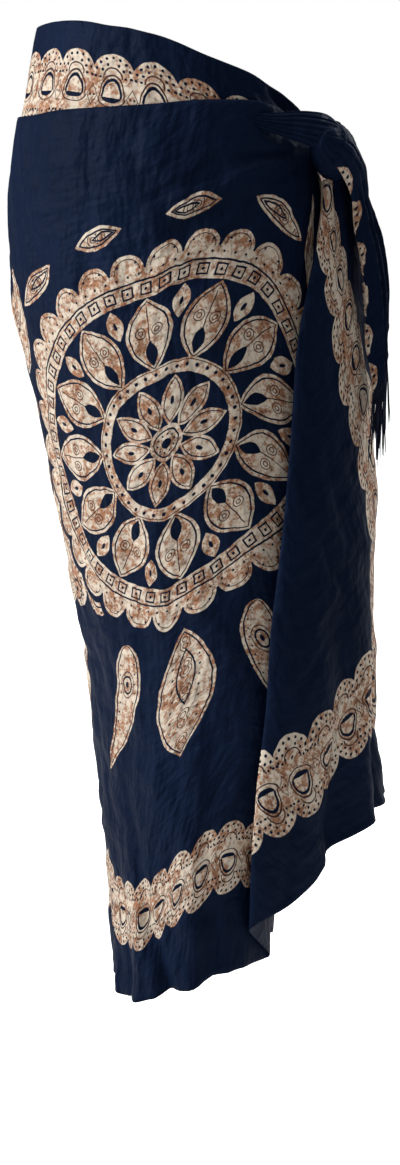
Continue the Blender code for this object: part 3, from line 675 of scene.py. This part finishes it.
def even_positions(first, last, spacing):
    """Positions along the cloth from one named guide to another, about evenly spaced at mid height."""
    start, stop = GUIDE_NAMES.index(first), GUIDE_NAMES.index(last)
    fine = np.linspace(start, stop, 40 * (stop - start) + 1)
    run = run_along(place(*along_guides(0.6, fine)))
    count = max(3, math.ceil(run[-1] / spacing))
    return np.interp(np.linspace(0, run[-1], count + 1), run, fine)


def on_line(line, shares):
    """Points at shares of a line's length, on its straight pieces."""
    run = run_along(line)
    return np.stack([np.interp(shares * run[-1], run, line[:, k]) for k in range(3)], axis=1)


def lengths(grid, axis):
    """Distance walked along a grid of points, from its first row or column."""
    steps = np.linalg.norm(np.diff(grid, axis=axis), axis=2)
    zero = np.zeros_like(np.take(steps, [0], axis=axis))
    return np.concatenate([zero, np.cumsum(steps, axis=axis)], axis=axis)


def linked(name, data):
    """A new object in the scene."""
    made = bpy.data.objects.new(name, data)
    bpy.context.scene.collection.objects.link(made)
    return made


def mesh_object(name, vertices, faces, materials, places=None):
    """A smooth mesh in the scene, with places on the cut cloth as a UV map where they are given."""
    mesh = bpy.data.meshes.new(name)
    mesh.from_pydata(vertices, [], faces)
    mesh.update()
    if places is not None:
        layer = mesh.uv_layers.new(name="cloth")
        corners = np.array([loop.vertex_index for loop in mesh.loops])
        layer.data.foreach_set("uv", places[corners].ravel())
    for material in materials:
        mesh.materials.append(material)
    mesh.shade_smooth()
    return linked(name, mesh)


def grid_object(name, grid, places, materials):
    """A sheet of cloth from a grid of points, with its places on the cut cloth as a UV map, and a thin wall.

    The grid's first row is at the top and its columns run so that the faces point outwards.
    """
    rows, columns = grid.shape[:2]
    faces = [
        (r * columns + c, r * columns + c + 1, (r + 1) * columns + c + 1, (r + 1) * columns + c)
        for r in range(rows - 1)
        for c in range(columns - 1)
    ]
    piece = mesh_object(name, grid.reshape(-1, 3).tolist(), faces, materials, places.reshape(-1, 2))
    wall = piece.modifiers.new("thin_wall", "SOLIDIFY")
    wall.thickness = SHELL
    wall.offset = 0.0
    wall.material_offset = len(materials) - 1
    return piece


class Amount:
    """A number that varies over the cloth: a socket in a node tree, with arithmetic that adds nodes."""

    def __init__(self, tree, socket):
        self.tree = tree
        self.socket = socket

    def math(self, operation, *others, clamp=False):
        values = dict(enumerate((self, *others)))
        node = add_node(self.tree, "Math", values, operation=operation, use_clamp=clamp)
        return Amount(self.tree, node.outputs[0])

    def __add__(self, other):
        return self.math("ADD", other)

    def __sub__(self, other):
        return self.math("SUBTRACT", other)

    def __rsub__(self, first):
        node = add_node(self.tree, "Math", {0: first, 1: self}, operation="SUBTRACT")
        return Amount(self.tree, node.outputs[0])

    def __mul__(self, other):
        return self.math("MULTIPLY", other)

    def __truediv__(self, other):
        return self.math("DIVIDE", other)

    def __abs__(self):
        return self.math("ABSOLUTE")

    def least(self, other):
        return self.math("MINIMUM", other)

    def most(self, other):
        return self.math("MAXIMUM", other)

    def far(self, other):
        """Distance from the origin with another coordinate."""
        return (self * self + other * other).math("SQRT")

    def repeat(self, spacing):
        """Distance to the nearest multiple of a spacing."""
        return self.math("PINGPONG", spacing / 2)

    def inside(self, soft=0.0005):
        """1 where a distance is below 0, with a soft edge."""
        return self.math("MULTIPLY_ADD", -1 / soft, 0.5, clamp=True)

    def line(self, half, soft=0.0004):
        """1 within a half width of distance 0."""
        return (abs(self) - half).inside(soft)

    def over(self, below, fill):
        """This mask painted over what is below it."""
        return below + self * (fill - below)


def fill(tree, node, values):
    """Each named input of a node gets its value, or a link from a socket or an Amount."""
    for name, value in values.items():
        value = value.socket if isinstance(value, Amount) else value
        if isinstance(value, bpy.types.NodeSocket):
            tree.links.new(value, node.inputs[name])
        else:
            node.inputs[name].default_value = value
    return node


def add_node(tree, kind, values, **settings):
    """A new node with these settings and inputs."""
    node = tree.nodes.new("ShaderNode" + kind)
    for name, setting in settings.items():
        setattr(node, name, setting)
    return fill(tree, node, values)


def mixed(tree, factor, first, second):
    """A colour between two others, each given as a socket or as three numbers."""
    values = {"Factor": factor}
    for name, colour in (("A", first), ("B", second)):
        values[name] = (*colour, 1.0) if isinstance(colour, tuple) else colour
    return add_node(tree, "Mix", values, data_type="RGBA").outputs["Result"]


def new_group(name, **outputs):
    """A node group that reads places on the cut cloth: the group, its place socket and its results' sockets.

    outputs says each result's name and kind.
    """
    group = bpy.data.node_groups.new(name, "ShaderNodeTree")
    group.interface.new_socket("Cloth place", in_out="INPUT", socket_type="NodeSocketVector")
    for output, kind in outputs.items():
        group.interface.new_socket(output, in_out="OUTPUT", socket_type="NodeSocket" + kind)
    cloth_place = group.nodes.new("NodeGroupInput").outputs[0]
    return group, cloth_place, group.nodes.new("NodeGroupOutput").inputs


def new_tree(name):
    """A shader material with only its Principled BSDF and output."""
    material = bpy.data.materials.new(name)
    material.use_nodes = True
    return material, material.node_tree, material.node_tree.nodes["Principled BSDF"]


def leaf(across, along, half_length, half_width):
    """Distance-like value of a pointed leaf about the origin, negative inside."""
    share = along / half_length
    return across + (share * share - 1) * half_width


def band_marks(edge_distance, along):
    """Cream, dark and fine parts of the scalloped border, from the distance to the edge and along it."""
    off = edge_distance - 0.100
    side = abs(off)
    lobe_at = along.repeat(BORDER_PERIOD)
    rise = side - 0.0185
    lobe_far = lobe_at.far(rise)
    body = (side - 0.0230).least(lobe_far - 0.0218)
    cream = body.inside()
    bearing = rise.math("ARCTAN2", lobe_at)
    upper = (rise + 0.001).math("GREATER_THAN", 0)

    def arc_dots(turn_deg, at, size):
        turn = bearing.math("PINGPONG", math.radians(turn_deg / 2))
        return ((lobe_far * turn).far(lobe_far - at) - size).inside()

    dots = (arc_dots(22.5, 0.0180, 0.0015).most(arc_dots(32, 0.0125, 0.0014))) * upper
    lobe_line = (lobe_far - 0.0090).line(0.0007) * upper
    below = off.math("GREATER_THAN", 0.0006)
    above = below * -1 + 1
    dome = ((lobe_at * (1 / 0.0096)).far(off * (1 / 0.0160)) - 1) * 0.0110
    outline = dome.line(0.0012) * above
    outer_line = (dome - 0.0032).line(0.0007) * above
    crescent = (((lobe_at * (1 / 0.0098)).far((off - 0.0006) * (1 / 0.0050)) - 1) * 0.0050).inside() * below
    under_line = ((lobe_at * (1 / 0.0135)).far((off - 0.0006) * (1 / 0.0088)) - 1) * 0.0080
    under_line = under_line.line(0.0005) * below
    half = lobe_at * -1 + BORDER_PERIOD / 2
    diamond_line = (half * 1.15 + side * 0.62 - 0.0060).line(0.0005)
    pair = ((half - 0.0018).far(off) - 0.0010).inside()
    beads = (along.repeat(BORDER_PERIOD / 5).far(side - 0.0205) - 0.0012).inside() * below
    dark = outline.most(crescent).most(dots).most(pair).most(beads)
    fine = lobe_line.most(outer_line).most(diamond_line).most(under_line)
    return cream, dark, fine


def ring_dots(radius, bearing, count, at, size):
    """Dots round a circle."""
    step = 2 * math.pi / count
    return ((radius * bearing.math("PINGPONG", step / 2)).far(radius - at) - size).inside()


def medallion_marks(x, y):
    """Cream, dark and fine brown parts of the round lotus medallion about its centre."""
    radius = x.far(y)
    bearing = y.math("ARCTAN2", x)

    def petals(count, at, half_length, half_width, turned=False):
        step = 2 * math.pi / count
        local = (bearing + step / 2 if turned else bearing).math("PINGPONG", step / 2)
        across = radius * local.math("SINE")
        along = radius * local.math("COSINE") - at
        return leaf(across, along, half_length, half_width), across, along

    # The outer ring: lobes with dots and a line, then a ring of squares
    step = 2 * math.pi / 30
    local = bearing.math("PINGPONG", step / 2)
    lobe = (radius * local.math("SINE")).far(radius * local.math("COSINE") - 0.1790) - 0.0178
    moat = ((radius - 0.1840).least(lobe - 0.0022) - 0.0050).inside()
    cream = (radius - 0.1800).least(lobe).inside()
    dark = ring_dots(radius, bearing, 90, 0.1750, 0.0013)
    dark = dark.most(ring_dots(radius, bearing + step / 4, 60, 0.1875, 0.0013))
    fine = (lobe + 0.0040).line(0.0005) * (radius - 0.1800).math("GREATER_THAN", 0)
    dark = dark.most((radius - 0.1680).line(0.0010))
    brick = 2 * math.pi / 52
    brick_across = radius * bearing.math("PINGPONG", brick / 2)
    bricks = (brick_across - 0.0052).most(abs(radius - 0.1590) - 0.0050)
    dark = dark.most(bricks.line(0.0009)).most((brick_across.far(radius - 0.1590) - 0.0016).inside())
    outer_ring = (radius - 0.1505).math("GREATER_THAN", 0)
    dark, fine = dark * outer_ring, fine * outer_ring
    cream = (radius - 0.1500).inside().over(cream, 0.0)

    # Twelve large petals with small ones between them
    petal, across, along = petals(12, 0.1120, 0.0370, 0.0245)
    cream = petal.inside().over(cream, 1.0)
    dark = dark.most((petal + 0.0042).line(0.0009))
    dark = dark.most(leaf(across, along + 0.018, 0.0130, 0.0060).inside())
    curl = across - 0.0085
    curl_far = curl.far(along - 0.0040)
    fine = fine.most((curl_far - 0.0052).line(0.0005)).most((curl_far - 0.0022).line(0.0005))
    fine = fine.most(across.line(0.0006) * (abs(along - 0.008) - 0.020).inside())
    petal, across, along = petals(12, 0.1330, 0.0150, 0.0090, turned=True)
    cream = petal.inside().over(cream, 1.0)
    dark = dark.most((across.far(along * 0.5) - 0.0020).inside())

    # The inner ring and its flower of ten petals
    ring = (radius - 0.0780).inside()
    cream = ring.over(cream, 1.0)
    dark = ring.over(dark, ring_dots(radius, bearing, 40, 0.0715, 0.0019))
    fine = ring.over(fine, (radius - 0.0760).line(0.0005))
    ring = (radius - 0.0650).inside()
    cream = ring.over(cream, 0.0)
    dark = ring.over(dark, 0.0)
    fine = ring.over(fine, 0.0)
    petal, across, along = petals(10, 0.0400, 0.0235, 0.0120)
    cream = petal.inside().over(cream, 1.0)
    dark = dark.most((petal + 0.0032).line(0.0006) * ring)
    dark = dark.most((across.far(along * 0.55) - 0.0022).inside() * ring)
    ring = (radius - 0.0175).inside()
    cream = ring.over(cream, 1.0)
    dark = ring.over(dark, (radius - 0.0130).line(0.0008)).most((radius - 0.0050).inside())
    dark = dark.most(ring_dots(radius, bearing, 10, 0.0090, 0.0011))
    return moat, cream, dark, fine


def leaf_marks(across, along, half_length, half_width):
    """Cream, dark and fine parts of a big leaf with a vein and curls."""
    edge = leaf(abs(across), along, half_length, half_width)
    cream = edge.inside()
    dark = (edge + 0.0040).line(0.0009)
    vein = leaf(abs(across), along + half_length * 0.25, half_length * 0.42, half_width * 0.30)
    dark = dark.most(vein.line(0.0010))
    dots = (along.repeat(0.0125).far(abs(across) - half_width * 0.45) - 0.0013).inside()
    dark = dark.most(dots * (edge + 0.0065).inside()) * cream
    curl = abs(across).far(along.repeat(0.030) - 0.004)
    fine = (curl - 0.0062).line(0.0005).most((curl - 0.0030).line(0.0005)) * (edge + 0.0055).inside()
    return cream, dark, fine


def drop_marks(across, along, length, half_width, bend):
    """A bent drop, round at its start and pointed at its end: cream, dark and fine parts."""
    t = (along / length).most(0.0)
    bent = across - t * t * bend
    outline = (t.math("SQRT") * (t * -1 + 1)) * (2.598 * half_width)
    edge = abs(bent) - outline
    within = along.math("GREATER_THAN", 0) * (along * -1 + length).math("GREATER_THAN", 0)
    cream = edge.inside() * within
    dark = (edge + 0.0038).line(0.0009)
    seed = bent.far((along - length * 0.30) * 0.75)
    dark = dark.most((seed - half_width * 0.34).line(0.0010)).most((seed - half_width * 0.12).inside())
    dots = (along.repeat(0.0110).far(abs(bent) - outline * 0.60) - 0.0012).inside()
    dark = dark.most(dots * (edge + 0.0060).inside()) * cream
    fine = (seed - half_width * 0.52).line(0.0005) * cream
    return cream, dark, fine


def lay(base, marks, within):
    """A motif's three masks laid over the masks drawn before it, inside one part of the cloth."""
    cream, dark, fine = (mark * within for mark in marks)
    old_cream, old_dark, old_fine = base
    return (
        old_cream.most(cream),
        cream.over(old_dark, dark),
        cream.over(old_fine, fine),
    )


NAVY = (0.0034, 0.0080, 0.0235)
CREAM = (0.590, 0.510, 0.415)
RUST = (0.330, 0.160, 0.090)
UMBER = (0.045, 0.022, 0.022)
BORDER_PERIOD = 0.040
MEDALLION_AT = (0.633, 0.530)
MEDALLION_STEP = 0.400


def print_group():
    """The batik print: cream and rust figures on navy, from places on the cut cloth in metres."""
    group, cloth_place, result = new_group("batik_print", Color="Color", Dyed="Float")

    def noise(scale, detail, roughness=0.5):
        values = {"Vector": cloth_place, "Scale": scale, "Detail": detail, "Roughness": roughness}
        return add_node(group, "TexNoise", values, noise_dimensions="2D").outputs

    def cells(scale, vector, feature="F1"):
        values = {"Vector": vector, "Scale": scale}
        node = add_node(group, "TexVoronoi", values, voronoi_dimensions="2D", feature=feature)
        return Amount(group, node.outputs["Distance"])

    # The drawn lines waver a little, as wax does
    values = {0: noise(90, 1.5)["Color"], 1: (0.0020, 0.0020, 0), 2: cloth_place}
    wavering = add_node(group, "VectorMath", values, operation="MULTIPLY_ADD").outputs[0]
    apart = add_node(group, "SeparateXYZ", {0: wavering}).outputs
    u = Amount(group, apart[0]) - 0.0010
    v = Amount(group, apart[1]) - 0.0010

    # The border runs along all four edges
    from_left = u - 0.060
    from_right = u * -1 + (CLOTH_WIDTH - 0.060)
    from_hem = v * -1 + CLOTH_DROP
    to_side = from_left.least(from_right)
    to_long = v.least(from_hem)
    edge_distance = to_side.least(to_long)
    on_side = to_side.math("LESS_THAN", to_long)
    along = on_side.over(u, v)
    marks = band_marks(edge_distance, along)

    # Places about the nearest medallion
    x = (u - MEDALLION_AT[0] + MEDALLION_STEP / 2).math("FLOORED_MODULO", MEDALLION_STEP)
    x, y = x - MEDALLION_STEP / 2, v - MEDALLION_AT[1]
    width = abs(x)
    between = width * -1 + MEDALLION_STEP / 2
    field = (u - 0.425).math("GREATER_THAN", 0) * (CLOTH_WIDTH - 0.17 - u).math("GREATER_THAN", 0)

    # The scalloped ground below the medallions
    lobe_at = u.repeat(0.050)
    ground_edge = (y - 0.150).least(lobe_at.far(y - 0.150) - 0.0220)
    ground = ground_edge.most(y * -1 + 0.030)
    stipple = (cells(115, cloth_place) - 0.17).inside(0.08)
    lobe_middle = lobe_at.far(y - 0.153)
    ground_dark = (lobe_middle - 0.0105).line(0.0009)
    ground_dark = ground_dark.most((u.repeat(0.0125).far(y - 0.142) - 0.0022).inside())
    ground_dark = ground_dark.most((lobe_middle - 0.0030).inside())
    marks = lay(marks, (ground.inside(), ground_dark, stipple), field)

    # Leaves and drops between and under the medallions
    for tall, at_y in ((0.056, -0.136), (0.052, 0.126)):
        marks = lay(marks, leaf_marks(between, y - at_y, tall, 0.030), field)
    for round_deg, far, half_length, half_width in ((13, 0.222, 0.028, 0.011), (38, 0.225, 0.034, 0.013)):
        c, s = math.cos(math.radians(round_deg)), math.sin(math.radians(round_deg))
        across, along_leaf = width * s - y * c - far, width * c + y * s
        marks = lay(marks, leaf_marks(across, along_leaf, half_length, half_width), field)
    marks = lay(marks, leaf_marks(width, y - 0.282, 0.078, 0.034), field)
    marks = lay(marks, drop_marks(width - 0.078, y - 0.205, 0.150, 0.022, 0.045), field)
    marks = lay(marks, drop_marks(between, y - 0.215, 0.100, 0.017, 0.0), field)

    moat, cream, dark, fine = medallion_marks(x, y)
    moat = moat * field
    cream, dark, fine = (moat.over(old, new) for old, new in zip(marks, (cream, dark, fine)))

    # Dye: rust in blots on the cream, cracked wax, and navy of uneven depth
    mottle = Amount(group, noise(150, 3, 0.62)["Fac"])
    patch = Amount(group, noise(38, 2)["Fac"])
    rust = ((mottle - 0.50) * 4.2 + (patch - 0.47) * 2.2).math("MULTIPLY_ADD", 1.0, 0.27, clamp=True)
    crackle = (cells(42, wavering, "DISTANCE_TO_EDGE") - 0.035).inside(0.05) * ((mottle - 0.30) * 1.6)
    depth = Amount(group, noise(7, 3, 0.6)["Fac"])
    ground_colour = mixed(group, (depth - 0.35) * 1.6, NAVY, tuple(1.45 * c for c in NAVY))
    speck = (cells(260, wavering) - 0.26).inside(0.12) * ((patch - 0.42) * 6).most(0.0)
    colour = mixed(group, rust, CREAM, RUST)
    colour = mixed(group, speck.least(0.75), colour, tuple(0.6 * c for c in RUST))
    colour = mixed(group, crackle * 0.8, colour, UMBER)
    colour = mixed(group, fine, colour, UMBER)
    colour = mixed(group, dark, colour, tuple(0.9 * c for c in NAVY))
    colour = mixed(group, cream, ground_colour, colour)
    group.links.new(colour, result[0])
    group.links.new((cream * (1 - dark)).socket, result[1])
    return group


def stretched_noise(group, vector, stretch):
    """Soft noise over the cloth, with its own scale in each direction."""
    mapping = add_node(group, "Mapping", {"Vector": vector, "Scale": stretch})
    values = {"Vector": mapping.outputs[0], "Scale": 1.0, "Detail": 2.0}
    return Amount(group, add_node(group, "TexNoise", values).outputs["Fac"])


def weave_group():
    """Fine plain weave with uneven threads, and the turned hem with its stitches, as a height."""
    group, cloth_place, result = new_group("rayon_weave", Height="Float", Slub="Float")
    values = {"Vector": cloth_place, "Scale": 420, "Distortion": 0.6, "Detail": 1.0}
    across, down = (
        add_node(group, "TexWave", values, wave_type="BANDS", bands_direction=way).outputs["Fac"]
        for way in ("X", "Y")
    )
    slub = stretched_noise(group, cloth_place, (900, 60, 1))
    apart = add_node(group, "SeparateXYZ", {0: cloth_place}).outputs
    from_hem = Amount(group, apart[1]) * -1 + CLOTH_DROP
    hem = (from_hem - 0.0085).inside(0.0008) * 2.5
    along_stitches = Amount(group, apart[0]).repeat(0.0032)
    stitch = (from_hem - 0.0072).line(0.0004) * (along_stitches - 0.0011).inside(0.0004)
    height = Amount(group, across).most(Amount(group, down)) * 0.6 + slub * 0.6 + hem - stitch * 3
    group.links.new(height.socket, result[0])
    group.links.new(slub.socket, result[1])
    return group


def crease_group():
    """Small soft crumples of the hand-dyed cloth, as a height."""
    group, cloth_place, result = new_group("soft_crumple", Height="Float")
    upright_ones, cross_ones, small_ones = (
        stretched_noise(group, cloth_place, stretch) * amount
        for stretch, amount in (((38, 14, 1), 1.0), ((20, 60, 1), 0.55), ((120, 70, 1), 0.25))
    )
    group.links.new((upright_ones + cross_ones + small_ones).socket, result[0])
    return group


def cloth_material(name, groups, faded=0.0):
    """Printed rayon. The faded one is the cloth's inner side, where the print shows paler and duller."""
    material, tree, shader = new_tree(name)
    where = add_node(tree, "UVMap", {}, uv_map="cloth").outputs[0]
    figure, weave, crease = (
        add_node(tree, "Group", {0: where}, node_tree=group).outputs
        for group in groups
    )
    colour = figure["Color"]
    if faded:
        colour = mixed(tree, faded, colour, (0.060, 0.066, 0.085))
    rough = add_node(tree, "MapRange", {"Value": weave["Slub"], "To Min": 0.46, "To Max": 0.64})
    broad = add_node(tree, "Bump", {"Height": crease["Height"], "Strength": 0.9, "Distance": 0.0095})
    values = {"Height": weave["Height"], "Normal": broad.outputs[0], "Strength": 0.25, "Distance": 0.00025}
    fill(tree, shader, {
        "Base Color": colour,
        "Roughness": rough.outputs[0],
        "Normal": add_node(tree, "Bump", values).outputs[0],
        "Sheen Weight": 0.002,
        "Sheen Roughness": 0.40,
        "Sheen Tint": (0.55, 0.65, 1.0, 1.0),
        "Specular IOR Level": 0.025,
    })
    return material


def thread_material(name):
    """Twisted rayon thread for the fringe."""
    material, tree, shader = new_tree(name)
    where = add_node(tree, "TexCoord", {}).outputs["Object"]
    twist = add_node(tree, "TexNoise", {"Vector": where, "Scale": 900, "Detail": 2}).outputs["Fac"]
    rough = add_node(tree, "MapRange", {"Value": twist, "To Min": 0.5, "To Max": 0.75})
    bump = add_node(tree, "Bump", {"Height": twist, "Strength": 0.5, "Distance": 0.0004})
    fill(tree, shader, {
        "Base Color": mixed(tree, twist, (0.0045, 0.0065, 0.0160), (0.0140, 0.0200, 0.0480)),
        "Roughness": rough.outputs[0],
        "Normal": bump.outputs[0],
        "Sheen Weight": 0.03,
        "Specular IOR Level": 0.03,
    })
    return material


def wrap_places(grid, at, levels):
    """Places on the cut cloth for the wrapped part: run along the cloth, and drop from its top edge."""
    down = lengths(grid, 0)
    side = lengths(grid, 1)
    to_hem = down[-1:] - down
    scale = 0.67 + 0.33 * ramp(at, 6.0, 10.4)
    # a local lift near the fold at the hem
    lift = 0.036 * ramp(at, 9.0, 10.5) * (1 - ramp(at, 11.2, 13.4))
    lift = lift[None, :] * ramp(to_hem, 0.0, 0.075) * (1 - ramp(to_hem, 0.18, 0.45))
    drop = CLOTH_DROP - to_hem * scale[None, :] + lift
    run = np.empty_like(drop)
    last_outer = np.searchsorted(at, GUIDE_NAMES.index("middle"))
    first_inner = np.searchsorted(at, GUIDE_NAMES.index("front_start"))
    border_run = np.interp(levels, (0, 0.045, 0.09, 0.13, 0.19, 0.25, 0.30, 0.40, 0.50, 1.0),
                           (0.085, 0.105, 0.127, 0.147, 0.167, 0.173, 0.168, 0.163, 0.152, 0.150))
    crowd = np.interp(levels, (0, 0.045, 0.09, 0.13, 0.19, 0.25, 0.30, 1.0),
                      (2.2, 2.0, 2.0, 1.63, 1.5, 1.15, 1.0, 1.0))
    for row in range(len(levels)):
        angles = along_guides(levels[row], at)[0]
        run[row] = 0.160 + (side[row] - border_run[row]) * crowd[row]
        front = side[row] - np.interp(90, -angles[first_inner:], side[row][first_inner:])
        gathered = 1 + 0.35 * ramp(drop[row, first_inner:], 0.900, 1.030)
        run[row, first_inner:] = 0.700 + front[first_inner:] * gathered
        between = slice(last_outer, first_inner)
        hidden = (at[between] - at[last_outer]) / (at[first_inner] - at[last_outer])
        run[row, between] = run[row, last_outer] * (1 - hidden) + run[row, first_inner] * hidden
    return np.stack([run, drop], axis=-1)


def main():
    groups = (print_group(), weave_group(), crease_group())
    printed = cloth_material("printed_rayon", groups)
    inner_side = cloth_material("rayon_inner_side", groups, faded=0.45)
    thread = thread_material("twisted_thread")

    at = np.concatenate([
        even_positions("short_edge", "ridge", 0.0050)[:-1],
        even_positions("ridge", "front_start", 0.0034)[:-1],
        even_positions("front_start", "right_side", 0.0052)[:-1],
        even_positions("right_side", "under_edge", 0.0080)[:-1],
        even_positions("under_edge", "inner_edge", 0.0120),
    ])
    levels = np.linspace(0.005, 1, 168)
    grid = wrap_grid(at, levels)
    places = wrap_places(grid, at, np.concatenate([np.zeros(len(EDGE_ROLL)), levels]))
    wrap = grid_object("wrapped_cloth", grid, places, (printed, inner_side))

    waist_at = even_positions("front_start", "inner_middle", 0.0055)
    points, fold_rows = waist_grid(waist_at)
    waist_uv = waist_places(points, fold_rows, waist_at)
    waist = grid_object("waist_turn", points, waist_uv, (printed, inner_side))

    coarse_at = np.linspace(0, GUIDE_NAMES.index("middle"), 90)
    coarse = wrap_surface(coarse_at, np.linspace(0, 1, 40))

    front_points = tail_grid(FRONT_FALL, FRONT_TAIL_SLANT, 1)
    back_points = tail_grid(BACK_FALL, BACK_TAIL_SLANT, -1)
    sides = (printed, inner_side)
    tail_front = grid_object("front_tail", front_points, tail_places(front_points, 0.133), sides)
    tail_back = grid_object("back_tail", back_points, tail_places(back_points, 0.165), sides)
    knot = knot_object(printed)

    shares = np.linspace(0.045, 0.995, 200)
    outer = grid[len(EDGE_ROLL):]
    edge_fringe = fringe_object("edge_fringe", outer[:, 0], outer[:, 1], shares, coarse, thread, 7,
                                lean_back=-0.07)
    shares = np.linspace(0.01, 0.99, 50)
    front_fringe = fringe_object("front_tail_fringe", front_points[-1], front_points[-2], shares, coarse,
                                 thread, 8, spread=0.010)
    back_fringe = fringe_object("back_tail_fringe", back_points[-1], back_points[-2], shares, coarse,
                                thread, 9, spread=0.010)

    for piece, slot, nodes in (
        (wrap, "printed_cloth", ("front_wrap", "back_wrap", "outer_end", "inner_end")),
        (waist, "printed_cloth", ("waist_front", "waist_back")),
        (knot, "printed_cloth", ("knot",)),
        (tail_front, "printed_cloth", ("tail_front",)),
        (tail_back, "printed_cloth", ("tail_back",)),
        (edge_fringe, "fringe_thread", ("fringe_outer_end",)),
        (front_fringe, "fringe_thread", ("fringe_tail_front",)),
        (back_fringe, "fringe_thread", ("fringe_tail_back",)),
    ):
        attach(piece, "root")
        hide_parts(*nodes)


def aimed(obj, at, aim):
    """The object placed at one point and turned to face another."""
    obj.location = at
    obj.rotation_euler = (Vector(aim) - Vector(at)).to_track_quat("-Z", "Y").to_euler()
    return obj


def area_light(name, at, aim, size, power):
    """A rectangular light, its size in metres and its power in watts."""
    lamp = bpy.data.lights.new(name, "AREA")
    lamp.shape = "RECTANGLE"
    lamp.size, lamp.size_y = size
    lamp.energy = power
    aimed(linked(name, lamp), at, aim)


def studio():
    """A pale floor, the lights, white for what the camera sees beyond them, and the camera."""
    bpy.ops.mesh.primitive_plane_add(size=14, location=(0, 0, -1.09))
    floor = bpy.context.object
    floor.name = "floor"
    material, tree, shader = new_tree("pale_floor")
    seen = add_node(tree, "LightPath", {}).outputs["Is Camera Ray"]
    fill(tree, shader, {
        "Base Color": (0.86, 0.86, 0.86, 1),
        "Roughness": 0.8,
        "Emission Color": (1, 1, 1, 1),
        "Emission Strength": add_node(tree, "Math", {0: seen, 1: 0.92}, operation="MULTIPLY").outputs[0],
    })
    floor.data.materials.append(material)
    world = bpy.data.worlds.new("studio")
    world.use_nodes = True
    tree = world.node_tree
    soft = fill(tree, tree.nodes["Background"], {0: (1, 1, 1, 1), 1: 0.13})
    plain = add_node(tree, "Background", {0: (1, 1, 1, 1)})
    seen = add_node(tree, "LightPath", {}).outputs["Is Camera Ray"]
    either = add_node(tree, "MixShader", {0: seen, 1: soft.outputs[0], 2: plain.outputs[0]})
    fill(tree, tree.nodes["World Output"], {0: either.outputs[0]})
    bpy.context.scene.world = world
    area_light("key", (-1.8, -1.8, 0.6), (0, 0, -0.45), (1.1, 1.8), 94)
    area_light("fill", (2.2, -1.9, 0.3), (0, 0, -0.5), (1.4, 2.0), 3)
    area_light("back", (0.6, 2.5, 0.8), (0, 0, -0.4), (1.6, 1.6), 60)
    area_light("overhead", (0, 0, 2.6), (0, 0, -1), (3.2, 3.2), 60)

    camera = bpy.data.cameras.new("camera")
    camera.sensor_fit = "VERTICAL"
    camera.sensor_height = 36
    camera.lens = 61.8
    camera.shift_x = 0.01717
    camera.shift_y = -0.04077
    turn, away = math.radians(35), 2.05
    eye = (away * math.sin(turn), -away * math.cos(turn), 0.10)
    bpy.context.scene.camera = aimed(linked("camera", camera), eye, (0, 0, -0.48))
    bpy.context.scene.view_settings.view_transform = "Standard"


main()
studio()
